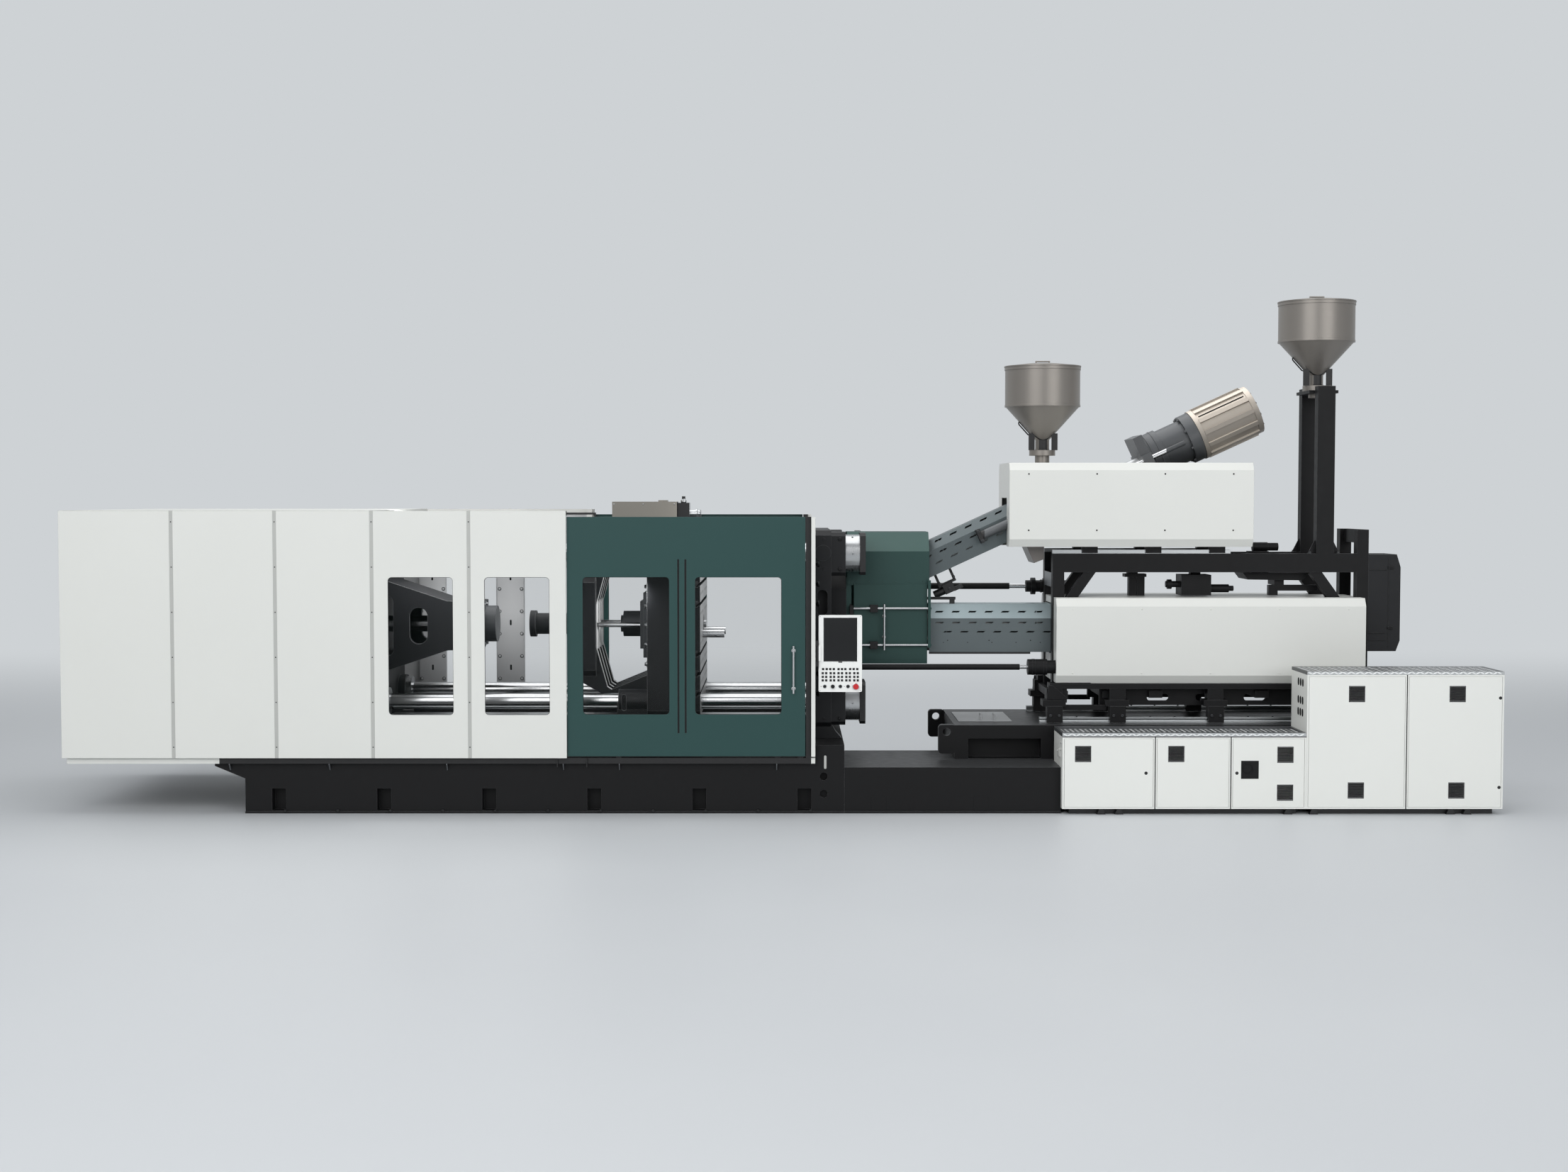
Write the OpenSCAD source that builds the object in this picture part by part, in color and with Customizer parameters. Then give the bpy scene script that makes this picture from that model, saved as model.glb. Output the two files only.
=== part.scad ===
// Injection moulding machine with a three-platen hydraulic clamp, a level main
// injection unit and a second, inclined unit on a raised frame.
// X runs along the machine, injection side positive; -Y is the operator's side; Z = 0 is the floor.

/* [Machine] */
// Overall length
machine_l = 11240; // [11140:20:11600]
// Overall width over the guards
machine_w = 2360; // [2340:4:2480]
// Height of the main axis above the floor
axis_z = 1420; // [1400:5:1450]
// Height of the guard's top edge
guard_top = 2373; // [2360:1:2460]
// Height of the guard's lower edge
guard_bottom = 443; // [438:1:460]

/* [Clamp] */
// Mould-side face of the fixed platen
platen_x = 255; // [235:5:275]
// Opening between the platens at rest
daylight = 915; // [880:5:940]
// Height of the platens
platen_h = 1580; // [1560:10:1600]
// Width of the platens
platen_w = 1400; // [1380:10:1440]
// Diameter of the tie bars
tie_d = 128; // [110:2:140]
// Tie bar spacing across the machine
tie_pitch_y = 1000; // [960:10:1020]
// Tie bar spacing in height
tie_pitch_z = 1200; // [1160:10:1210]
// Outer diameter of the tie bar nuts
nut_od = 307; // [260:1:330]
// Length of the tie bar nuts
nut_l = 116; // [90:2:130]
// Thickness of the moving platen's mould wall
mould_wall = 428; // [410:3:440]
// Overall length of the moving platen's box
box_l = 1007; // [960:5:1030]
// Diameter of the clamp ram's head
ram_head_d = 302; // [280:2:320]
// Outer diameter of the clamp cylinder
clamp_cyl_d = 620; // [560:10:700]
// Length of the clamp cylinder
clamp_cyl_l = 1600; // [1500:10:1660]

/* [Base] */
// Height of the clamp base beams
base_h = 430; // [420:1:432]
// Height of the injection base
inj_base_h = 361; // [340:1:380]
// Top of the moving platen's slide rails
rail_top = 720; // [700:1:726]
// Inset of the bases from the guards' outer face
base_inset = 80; // [70:2:100]
// Width over the carriage base
carriage_base_w = 1200; // [1160:10:1240]
// Top of the carriage base
carriage_base_top = 635; // [615:1:645]

/* [Guards] */
// Thickness of a guard panel with its folded edges
panel_t = 25; // [20:1:28]
// Thickness of the sheet metal
sheet = 3; // [2:0.5:4]
// Width of a guard window
win_w = 505; // [460:5:540]
// Lower edge of the windows
win_z0 = 781; // [740:1:820]
// Upper edge of the windows
win_z1 = 1855; // [1800:1:1900]
// Length of the sliding door
door_l = 1860; // [1840:1:1860]
// Width of a door window
door_win_w = 673; // [620:1:700]

/* [Injection] */
// Slope of the upper unit
tilt = 24.7; // [24:0.1:25]
// Diameter of the main barrel
barrel_d = 230; // [210:2:240]
// Diameter of the main screw
screw_d = 104; // [90:2:110]
// Diameter of the upper barrel
up_barrel_d = 190; // [170:2:200]
// Diameter of the upper screw
up_screw_d = 80; // [70:2:90]
// Half width of the barrel covers
barrel_cover_hw = 190; // [180:1:194]
// Diameter of the hoppers
hopper_d = 620; // [560:10:640]

/* [Cabinets] */
// Free depth between the cabinets and the carriage base
cabinet_clear = 100; // [95:5:140]
// Height of the low cabinets
low_h = 640; // [620:1:700]
// Height of the tall cabinet
tall_h = 1120; // [1090:1:1180]

/* [Hidden] */
$fn = 64;

gap = 0.3;           // clearance between pieces that slide or seat
run = 0.1;           // radial running clearance of a shaft
eps = 0.01;

x_left = -machine_l / 2;
x_right = machine_l / 2;
half_w = machine_w / 2;
base_w = machine_w - 2 * base_inset;
cabinet_d = half_w - carriage_base_w / 2 - cabinet_clear;
tie_r = tie_d / 2;
tie_y = tie_pitch_y / 2;
tie_z = tie_pitch_z / 2;

// Fixed platen
slab_t = 135;
corner_t = 250;
hub_t = 266;
corner_w = 380;
corner_h = 350;
seat_x = platen_x + corner_t;            // where the nuts seat
locate_r = 125;
locate_depth = 40;
nozzle_r = 62;
pocket_r = 150;

// Moving platen and clamp
mp_x1 = platen_x - daylight;             // mould face of the moving platen
mp_x0 = mp_x1 - box_l;                   // back of its box
mid_x = mp_x1 - mould_wall;              // back of the mould wall
back_x1 = mp_x0 + 137;                   // front of the back wall
shoe_x0 = mp_x1 - 680;                   // back end of the shoes and collars at the tie bars
shoe_hw = 76;
box_hw = 330;
rib_t = 70;
rib_d = 34;                              // height of the ribs' edges
stub_l = 440;
stub_r = 88;
rear_x1 = -3300;                         // front face of the rear platen
rear_t = 450;
rear_x0 = rear_x1 - rear_t;
nose_x = -2494;                          // end of the converging frame
ram_face_x = -2383;
ring_l = 48;
collar_l = 62;
ram_rod_r = 68;
ram_stroke = 150;
platen_forward = 500;
platen_back = 100;
eject_stroke = 150;
eject_r = 33;
piston_r = 40;
eject_y = 200;
eject_z = -70;

// Base
base_x0 = -4214;
base_x1 = 484;
end_block_h = 535;
beam_w = 180;
rail_w = 160;
cross_w = 120;
cross_h = 300;
pocket_pitch = 824;
pocket_first = -3949;
pocket_w = 110;
end_wall = 60;                           // side wall of the end block under the fixed platen
seat_plate_t = 120;
rear_foot_z = axis_z - platen_h / 2;
rail_x0 = rear_x1 + collar_l + ring_l + 20;

// Guards
joint_x = [-4747, -3944, -3192, -2437];  // joints between the fixed panels
door_x0 = -1683;
strip_w = 27;
post_t = 50;                             // width of the square posts
win_centres = [-2815, -2065];
door_y = half_w - 30;                    // outer face of the sliding doors
door_t = 40;
door_z0 = 454;
door_z1 = 2323;
door_travel = 1250;
post_x0 = door_x0 + door_l + 6;          // dark strip at the door's closing edge
post_mid = post_x0 + 40;
post_x1 = platen_x;
rail_beam = 40;
rail_y1 = door_y + 5;                    // outer face of the upper rail
corner_r = 30;

// Injection units
up_x0 = 32;                              // where the inclined axis meets the main axis
main_tip_x = 480;
main_rear_x = 2700;
up_tip = 640;                            // along the inclined axis
up_rear = 2700;
cover_x0 = 1211;                         // left end of both barrel covers
mez_x0 = 2216;
mez_x1 = 4808;
post_w = 96;
mez_y = 300;                             // outer face of the raised frame
mez_top = 2013;
mez_beam_h = 153;
carriage_x1 = 5160;
rail_h = 50;
rail_y = 440;
sled_z0 = 834;
sled_z1 = 968;
main_cover_x0 = 2226;
main_cover_x1 = 4741;
main_cover_hw = 480;
main_cover_z0 = 959;
main_cover_z1 = 1655;
up_cover_x0 = 1848;
up_cover_x1 = 3838;
up_cover_hw = 400;
up_cover_z0 = 2071;
up_cover_z1 = 2757;
hopper_1_x = 2163;
hopper_2_x = 4438;
hopper_1_z = 2766;
hopper_2_z = 3300;
mez_cross = [[2835, 2995], [3390, 3490], [3880, 4040]];
pull_y = 400;
pull_front_z = 1090;
pull_rear_z = 1716;
guide_r = 30;
up_guide_r = 20;
up_guide_y = 236;
posts_z0 = sled_z0 + 60;             // where the raised frame stands on the carriage

// Box between two corners
module bx(x0, x1, y0, y1, z0, z1) {
    translate([x0, y0, z0]) cube([x1 - x0, y1 - y0, z1 - z0]);
}

// Round bar along X
module rod_x(x0, x1, y, z, r) {
    translate([x0, y, z]) rotate([0, 90, 0]) cylinder(h = x1 - x0, r = r);
}

// Cone along X
module cone_x(x0, x1, y, z, r0, r1) {
    translate([x0, y, z]) rotate([0, 90, 0]) cylinder(h = x1 - x0, r1 = r0, r2 = r1);
}

// Round bar along Y
module rod_y(x, y0, y1, z, r) {
    translate([x, y0, z]) rotate([-90, 0, 0]) cylinder(h = y1 - y0, r = r);
}

// Round bar along Z
module rod_z(x, y, z0, z1, r) {
    translate([x, y, z0]) cylinder(h = z1 - z0, r = r);
}

// A shape on both sides of the machine
module both() {
    children();
    mirror([0, 1, 0]) children();
}

// A shape at each tie bar
module each_tie() {
    for (sy = [-1, 1], sz = [-1, 1])
        translate([0, sy * tie_y, axis_z + sz * tie_z]) children();
}

// Rectangle with round corners, by its lower left and upper right corners
module round_rect(x0, x1, y0, y1, r) {
    translate([x0 + r, y0]) square([x1 - x0 - 2 * r, y1 - y0]);
    translate([x0, y0 + r]) square([x1 - x0, y1 - y0 - 2 * r]);
    for (x = [x0 + r, x1 - r], y = [y0 + r, y1 - r])
        translate([x, y]) circle(r);
}

// Outline in X and Z, extruded from y0 to y1
module plate_xz(y0, y1) {
    translate([0, y1, 0]) rotate([90, 0, 0]) linear_extrude(y1 - y0) children();
}

// Outline in Y and Z, extruded from x0 to x1
module plate_yz(x0, x1) {
    translate([x0, 0, 0]) rotate([90, 0, 90]) linear_extrude(x1 - x0) children();
}

// Frame of the inclined axis: local X runs up the slope
module on_slope() {
    translate([up_x0, 0, axis_z]) rotate([0, -tilt, 0]) children();
}

// Height of the inclined axis above a place along X
function slope_z(x) = axis_z + (x - up_x0) * tan(tilt);

// Welded base of the clamp side: outer beams, slide rails, cross members and the platen's seat
module clamp_base() {
    side_y = -base_w / 2;
    beam_in = side_y + beam_w;
    color("#1f2122") {
        both() difference() {
            union() {
                bx(base_x0, base_x1, side_y, beam_in, 0, base_h);
                bx(base_x0, base_x1, side_y - 12, side_y + eps, 0, 15);
                bx(platen_x - 20, base_x1, side_y, side_y + end_wall, 0, end_block_h);
                plate_xz(side_y, side_y + end_wall)
                    polygon([[base_x0 + eps, base_h], [base_x0 + eps, 273], [-4451, 372], [-4451, base_h]]);
            }
            for (i = [0:5])
                bx(pocket_first + i * pocket_pitch - pocket_w / 2, pocket_first + i * pocket_pitch + pocket_w / 2,
                    side_y - 1, side_y + 90, 21, 195);
            bx(platen_x - 21, base_x1 + 1, side_y + end_wall, beam_in + 1, end_block_h - seat_plate_t, base_h + 1);
            rod_y(322, side_y - 1, side_y + end_wall + 1, 290, 31);
            rod_y(322, side_y - 1, side_y + 40, 153, 31);
        }
        bx(platen_x, base_x1, side_y + end_wall + gap, -side_y - end_wall - gap,
            end_block_h - seat_plate_t + gap, end_block_h);
        bx(base_x1 - 44, base_x1, beam_in + gap, -beam_in - gap, 0, end_block_h - seat_plate_t);
        for (x = [base_x0, -3400, -2480, -1560, -640])
            bx(x, x + cross_w, beam_in + gap, -beam_in - gap, 0, cross_h);
        both() {
            bx(rail_x0, platen_x - 10, -tie_y - rail_w / 2, -tie_y + rail_w / 2, cross_h + gap, rail_top);
            bx(base_x0, rail_x0 - gap, -tie_y - rail_w / 2, -tie_y + rail_w / 2, cross_h + gap, rear_foot_z - gap);
        }
    }
}

// Injection side base: a low deck in front and the bed under the carriage
module injection_base() {
    color("#202223") difference() {
        union() {
            bx(base_x1 + gap, low_x0 - gap, -base_w / 2, -60, 0, inj_base_h);
            bx(1391, carriage_x1, -carriage_base_w / 2, carriage_base_w / 2, 0, inj_base_h);
            bx(base_x1 + gap, low_x0 - gap, -base_w / 2 - 12, -base_w / 2 + eps, 0, 15);
        }
        for (x = [700, 1500])
            bx(x, x + 110, -base_w / 2 - 1, -base_w / 2 + 90, 21, 130);
    }
}

// Platen outline with chamfered corners, centred on the axis
module platen_outline(w, h, c) {
    polygon([[-w / 2, -h / 2 + c], [-w / 2 + c, -h / 2], [w / 2 - c, -h / 2], [w / 2, -h / 2 + c],
        [w / 2, h / 2 - c], [w / 2 - c, h / 2], [-w / 2 + c, h / 2], [-w / 2, h / 2 - c]]);
}

// T-slots cut into a mould face at x, open towards the side given by dir
module t_slots(x, dir) {
    for (z = [-520, -360, -200, 200, 360, 520]) {
        translate([x, 0, axis_z + z])
            translate([dir > 0 ? -40 : -1, -platen_w / 2 - 1, -14]) cube([41, platen_w + 2, 28]);
        translate([x, 0, axis_z + z])
            translate([dir > 0 ? -40 : 20, -platen_w / 2 - 1, -24]) cube([20, platen_w + 2, 48]);
    }
}

module fixed_platen() {
    color("#26282a") difference() {
        union() {
            translate([0, 0, axis_z]) plate_yz(platen_x, platen_x + slab_t)
                platen_outline(platen_w, platen_h, 40);
            each_tie() plate_yz(platen_x + slab_t - eps, seat_x)
                platen_outline(corner_w, corner_h, 30);
            translate([0, 0, axis_z]) plate_yz(platen_x + slab_t - eps, platen_x + hub_t)
                platen_outline(660, 860, 120);
            both() rod_y(platen_x + slab_t, -platen_w / 2 + 60, -330 + eps, axis_z, 118);
            both() plate_xz(-platen_w / 2 + 40, -platen_w / 2 + 160)
                polygon([[platen_x, end_block_h + gap], [platen_x, rear_foot_z + 40],
                    [platen_x + slab_t, rear_foot_z + 40], [platen_x + slab_t + 12, rear_foot_z + 6],
                    [platen_x + slab_t + 36, rear_foot_z - 36], [platen_x + 222, end_block_h + gap]]);
            both() rod_y(platen_x + slab_t / 2, -platen_w / 2 - 8, -platen_w / 2 + 10, axis_z + 610, 64);
        }
        each_tie() rod_x(platen_x - 1, seat_x + 1, 0, 0, tie_r + gap);
        rod_x(platen_x - 1, platen_x + locate_depth, 0, axis_z, locate_r);
        rod_x(platen_x, platen_x + hub_t + 1, 0, axis_z, nozzle_r + 28);
        cone_x(platen_x + 80, platen_x + hub_t + 1, 0, axis_z, nozzle_r + 28, pocket_r);
        bx(platen_x + 165, platen_x + hub_t + 1, -110, 110, axis_z + 120, axis_z + 400);
        both() for (z = [-220, 210]) translate([0, 0, axis_z + z]) plate_xz(-platen_w / 2 - 1, -platen_w / 2 + 80)
            round_rect(platen_x + 20, platen_x + 105, -105, 105, 42);
        t_slots(platen_x, -1);
    }
}

// Rear platen with the frame that converges to the ram's guide
module rear_platen() {
    frame_len = nose_x - rear_x1;
    color("#232526") difference() {
        union() {
            translate([0, 0, axis_z]) plate_yz(rear_x0, rear_x1) platen_outline(platen_w, platen_h, 60);
            each_tie() rod_x(rear_x1 - eps, rear_x1 + collar_l, 0, 0, 130);
            both() plate_xz(-290, -250) translate([0, axis_z])
                polygon([[rear_x1 - eps, -385], [rear_x1 - eps, 385], [nose_x - 266, 205], [nose_x - 10, 190],
                    [nose_x - 10, -190], [nose_x - 266, -205]]);
            for (s = [-1, 1]) translate([0, 0, axis_z]) plate_xz(-290, 290)
                polygon([[rear_x1 - eps, s * 385], [nose_x - 266, s * 205], [nose_x - 10, s * 190],
                    [nose_x - 10, s * 160], [nose_x - 266, s * 170], [rear_x1 - eps, s * 345]]);
            rod_x(nose_x - 150, nose_x, 0, axis_z, 200);
            both() plate_xz(-290, -230) translate([0, axis_z])
                polygon([[nose_x - 150, -180], [nose_x - 150, 180], [nose_x - 10, 180], [nose_x - 10, -180]]);
        }
        each_tie() rod_x(rear_x0 - 1, rear_x1 + collar_l + 1, 0, 0, tie_r + gap);
        rod_x(rear_x0 - 1, rear_x1 + 1, 0, axis_z, ram_rod_r + run);
        rod_x(nose_x - 200, nose_x + 1, 0, axis_z, ram_head_d / 2 + run);
        translate([0, 0, axis_z]) plate_xz(-300, 300) {
            round_rect(rear_x1 + 2, rear_x1 + 97, -243, 243, 45);
            round_rect(rear_x1 + 233, rear_x1 + 379, -149, 149, 72);
        }
    }
}

// Clamp cylinder behind the rear platen, with its mounting flange and end cap
module clamp_cylinder() {
    x1 = rear_x0 - gap;
    x0 = x1 - clamp_cyl_l;
    color("#3a3d40") difference() {
        union() {
            rod_x(x0 + 70, x1, 0, axis_z, clamp_cyl_d / 2);
            rod_x(x1 - 90, x1, 0, axis_z, clamp_cyl_d / 2 + 70);
            rod_x(x0, x0 + 90, 0, axis_z, clamp_cyl_d / 2 + 35);
            for (x = [x0 + 180, x1 - 260])
                translate([x, 0, axis_z + clamp_cyl_d / 2 - 20]) cylinder(h = 80, r = 70);
        }
        rod_x(x0 + 140, x1 + 1, 0, axis_z, clamp_cyl_d / 2 - 90);
    }
}

module tie_bars() {
    color("#c9cccd") each_tie() rod_x(rear_x0 - nut_l - 20, seat_x + nut_l - gap, 0, 0, tie_r);
}

// Nuts at both ends, their square lock plates, and the rings against the rear platen
module tie_bar_nuts() {
    color("#d2d3d3") each_tie() {
        difference() {
            rod_x(seat_x + gap, seat_x + gap + nut_l, 0, 0, nut_od / 2);
            rod_x(seat_x - 1, seat_x + nut_l + 2, 0, 0, tie_r + gap);
            for (a = [0:60:300]) rotate([a + 30, 0, 0])
                translate([seat_x + nut_l / 2, 0, nut_od / 2 - 30]) cylinder(h = 40, r = 9);
        }
        plate_yz(seat_x + nut_l + 2 * gap, seat_x + nut_l + 46) platen_outline(336, 336, 24);
        difference() {
            rod_x(rear_x0 - gap - nut_l, rear_x0 - gap, 0, 0, nut_od / 2);
            rod_x(rear_x0 - nut_l - 1, rear_x0 + 1, 0, 0, tie_r + gap);
        }
        difference() {
            rod_x(rear_x1 + collar_l + gap, rear_x1 + collar_l + ring_l, 0, 0, 112);
            rod_x(rear_x1 + collar_l, rear_x1 + collar_l + ring_l + 1, 0, 0, tie_r + gap);
        }
    }
}

// Posts, rails and brackets that carry the guard panels and doors
module guard_frame() {
    top_z0 = guard_top - rail_beam;
    top_z1 = guard_top - sheet - gap;
    post_xs = [x_left + panel_t + gap, joint_x[0] - 25, joint_x[1] - 25, joint_x[2] - 25];
    low_top = base_h + 10;
    color("#8c8e8c") both() {
        bx(x_left + panel_t + gap, door_x0 + 2, -rail_y1, -rail_y1 + rail_beam, top_z0, top_z1);
        for (x = joint_x)
            bx(x - strip_w / 2, x + strip_w / 2, -half_w, -half_w + panel_t - gap, guard_bottom, guard_top);
        for (x = post_xs)
            bx(x, x + post_t, -rail_y1, -rail_y1 + rail_beam, low_top + gap, top_z0 - gap);
        bx(x_left + panel_t + gap, post_x1, -rail_y1 + 10, -base_w / 2 - gap, base_h - 35, low_top);
        bx(door_x0 - 60, door_x0 - 10, -rail_y1 + post_t, -rail_y1 + 2 * post_t, base_h + gap, top_z0 - gap);
        bx(door_x0 - 60, door_x0 - 10, -rail_y1 + rail_beam + gap, -rail_y1 + 2 * post_t, top_z0, top_z1);
        bx(post_x0, post_mid - gap, -door_y + 2, -base_w / 2 + 60, base_h + gap, door_z1);
        bx(post_mid, post_x1, -half_w, -base_w / 2 - gap, door_z0, door_z1);
        for (x = [door_x0 - 80, door_x0 + 150])
            bx(x, x + 8, -rail_y1 - 6, -rail_y1 + 10 - gap, base_h - 60, low_top - 4);
    }
    color("#8c8e8c") for (x = post_xs)
        bx(x, x + post_t, -rail_y1 + rail_beam + gap, rail_y1 - rail_beam - gap, top_z0, top_z1);
    color("#303234") difference() {
        bx(post_x1 + gap, hinge_x + 10, -half_w, hinge_y + 20, axis_z - 260, axis_z - 60);
        rod_z(hinge_x, hinge_y, axis_z - 261, axis_z - 59, hinge_r + run);
        bx(post_x1 + 1, hinge_x + 11, -half_w - 1, hinge_y + 21, axis_z - 220, axis_z - 100);
    }
    color("#303234") {
        bx(door_x0 + 2 + gap, -1462, -rail_y1 + 4, -rail_y1 + 24, top_z0 + 8, top_z0 + 24);
        bx(-1462 - eps, -1451, -rail_y1 + 4, -rail_y1 + 24, top_z0 - 6, top_z0 + 24);
    }
}
hinge_x = platen_x + 11;
hinge_y = -half_w + 14;
hinge_r = 7;

// One sheet metal panel with folded edges, seen face at -half_w; win lists window centres
module panel(x0, x1, wins) {
    difference() {
        bx(x0, x1, -half_w, -half_w + panel_t, guard_bottom, guard_top - sheet - 2 * gap);
        difference() {
            bx(x0 + sheet, x1 - sheet, -half_w + sheet, -half_w + panel_t + 1,
                guard_bottom + sheet, guard_top - 2 * sheet - 2 * gap);
            for (c = wins) plate_xz(-half_w, -half_w + 18)
                round_rect(c - win_w / 2 - 12, c + win_w / 2 + 12, win_z0 - 12, win_z1 + 12, corner_r + 12);
        }
        for (c = wins) plate_xz(-half_w - 1, -half_w + panel_t + 2)
            round_rect(c - win_w / 2, c + win_w / 2, win_z0, win_z1, corner_r);
    }
}

// White panels of both sides, the end panel and the roof over the clamp cylinder
module guard_panels() {
    s = strip_w / 2 + gap;
    color("#e0e1dc") {
        both() {
            panel(x_left, joint_x[0] - s, []);
            panel(joint_x[0] + s, joint_x[1] - s, []);
            panel(joint_x[1] + s, joint_x[2] - s, []);
            panel(joint_x[2] + s, joint_x[3] - s, [win_centres[0]]);
            panel(joint_x[3] + s, door_x0, [win_centres[1]]);
        }
        difference() {
            bx(x_left, x_left + panel_t, -half_w + panel_t + gap, half_w - panel_t - gap,
                guard_bottom, guard_top - sheet - gap);
            bx(x_left + sheet, x_left + panel_t + 1, -half_w + panel_t + sheet, half_w - panel_t - sheet,
                guard_bottom + sheet, guard_top - 2 * sheet);
        }
        bx(x_left, joint_x[2] - s, -half_w + panel_t + gap, half_w - panel_t - gap, guard_top - sheet, guard_top);
    }
}

// Clear panes of the fixed guards
module guard_panes() {
    color("#9fb4b0") both() for (c = win_centres) plate_xz(-half_w + 8, -half_w + 14)
        round_rect(c - win_w / 2 + gap, c + win_w / 2 - gap, win_z0 + gap, win_z1 - gap, corner_r);
}

door_wins = [-1220, -345];

// Sliding door on the -Y side, with grooves, slide shoes and handle
module door_leaf() {
    difference() {
        union() {
            difference() {
                bx(door_x0 + 3, door_x0 + door_l, -door_y, -door_y + door_t, door_z0, door_z1);
                difference() {
                    bx(door_x0 + 3 + sheet, door_x0 + door_l - sheet, -door_y + sheet, -door_y + door_t + 1,
                        door_z0 + sheet, door_z1 - sheet);
                    for (c = door_wins) plate_xz(-door_y, -door_y + door_t - 4)
                        round_rect(c - door_win_w / 2 - 14, c + door_win_w / 2 + 14, win_z0 - 14, win_z1 + 14,
                            corner_r + 6);
                    bx(-840, -728, -door_y, -door_y + door_t - 4, door_z0, door_z1);
                }
            }
            for (x = [-1300, -60, 120])
                bx(x, x + 40, -door_y + 8, -door_y + door_t - 4, base_h + 10 + gap, door_z0 + eps);
            rod_z(85, -half_w + 12, 947, 1319, 9);
            for (z = [985, 1281]) rod_y(85, -half_w + 12, -door_y + eps, z, 7);
        }
        for (c = door_wins) plate_xz(-door_y - 1, -door_y + door_t + 2)
            round_rect(c - door_win_w / 2, c + door_win_w / 2, win_z0, win_z1, corner_r);
        for (x = [-812, -756]) bx(x - 7, x + 7, -door_y - 1, -door_y + 8, 636, 1993);
    }
}

module door_glass() {
    for (c = door_wins) plate_xz(-door_y + 10, -door_y + 16)
        round_rect(c - door_win_w / 2 + gap, c + door_win_w / 2 - gap, win_z0 + gap, win_z1 - gap, corner_r);
}

module front_door() { color("#365250") door_leaf(); }
module front_door_panes() { color("#9fb4b0") door_glass(); }
module rear_door() { color("#365250") mirror([0, 1, 0]) door_leaf(); }
module rear_door_panes() { color("#9fb4b0") mirror([0, 1, 0]) door_glass(); }

// Purge guard: a hood of folded sheet over both nozzles, with the rods of its sliding door
purge_x0 = 530;
purge_x1 = 1203;
purge_y = 310;
purge_z0 = 1110;
purge_z1 = 2189;
purge_split = 1755;
purge_rod_y = purge_y + 35;
purge_rods_z = [1264, 1565];
module purge_guard() {
    t = 4;
    color("#30484a") {
        plate_yz(purge_x0, purge_x1) polygon([[-purge_y, purge_split], [-purge_y, 2032], [-180, purge_z1],
            [180, purge_z1], [purge_y, 2032], [purge_y, purge_z0], [purge_y - t, purge_z0], [purge_y - t, 2030],
            [180 - t / 2, purge_z1 - t], [-180 + t / 2, purge_z1 - t], [-purge_y + t, 2030],
            [-purge_y + t, purge_split]]);
        bx(purge_x1 - 12, purge_x1 + 10, -purge_rod_y - 10, -purge_y - 16, purge_rods_z[0] - 20, purge_split + 40);
        bx(purge_x1 - 12, purge_x1 + 10, -purge_y - 17, -purge_y, purge_split + 12, purge_split + 40);
        bx(platen_x + hub_t + gap, purge_x0 + 34, -purge_y + t - eps, -purge_y + t + 8, axis_z - 300, axis_z + 400);
        bx(platen_x + hub_t + gap, purge_x0 + 34, purge_y - t - 8, purge_y - t + eps, axis_z - 300, axis_z + 400);
    }
    color("#303234") difference() {
        bx(purge_x0 + 20, purge_x0 + 50, -purge_rod_y - 14, -purge_y + t + 1, purge_rods_z[0] - 24, purge_rods_z[1] + 24);
        bx(purge_x0 + 19, purge_x0 + 51, -purge_y - 16, -purge_y + t - 1, purge_z0, purge_split);
    }
    color("#c8cbcc") for (z = purge_rods_z) rod_x(purge_x0 + 48, purge_x1 + 16, -purge_rod_y, z, 10);
}

// Sliding lower front of the purge guard, with bushes and pull bar
module purge_door() {
    color("#30484a") bx(purge_x0 + 54, purge_x1 - 16, -purge_y - 6, -purge_y - 2, purge_z0, purge_split + 8);
    color("#202223") for (z = purge_rods_z) difference() {
        bx(716, 779, -purge_rod_y - 24, -purge_y - 6 + eps, z - 30, z + 30);
        rod_x(715, 780, -purge_rod_y, z, 10 + run);
    }
    color("#c8cbcc") {
        rod_z(831, -purge_rod_y - 26, 1225, 1595, 10);
        for (z = [1330, 1500]) rod_y(831, -purge_rod_y - 26, -purge_y - 6 + eps, z, 8);
    }
}

// Linear rails under the injection carriage
module carriage_rails() {
    color("#b9bcbd") both() plate_yz(2094, carriage_x1 - 40) translate([-rail_y, carriage_base_top + gap])
        polygon([[-24, 0], [24, 0], [24, 16], [16, 26], [24, 36], [24, rail_h], [-24, rail_h], [-24, 36], [-16, 26], [-24, 16]]);
}

// Bed that carries the rails, with recess, lugs and hatch opening
module carriage_base() {
    hw = carriage_base_w / 2;
    color("#1e2021") difference() {
        union() {
            bx(1391, carriage_x1, -hw, hw, inj_base_h + gap, carriage_base_top);
            both() plate_xz(-hw, -hw + 60) round_rect(1260, 1400, 403, 639, 30);
        }
        bx(1499, 2091, -hw - 1, -hw + 120, 365, 527);
        bx(1499, 2091, hw - 120, hw + 1, 365, 527);
        both() rod_y(1326, -hw - 1, -hw + 61, 581, 32);
        bx(1453, 1873, -330, 330, carriage_base_top - 150, carriage_base_top + 1);
    }
}

// Lift-off hatch with two handles
module carriage_hatch() {
    color("#6d7072") {
        for (y = [-320, 310]) bx(1460, 1866, y, y + 10, carriage_base_top - 30, carriage_base_top + 3);
        bx(1443, 1883, -340, 340, carriage_base_top + gap, carriage_base_top + 6);
        for (x = [1640, 1751]) {
            for (y = [-250, -130]) rod_z(x, y, carriage_base_top + 5, carriage_base_top + 50, 7);
            rod_y(x, -257, -123, carriage_base_top + 46, 7);
        }
    }
}

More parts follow.
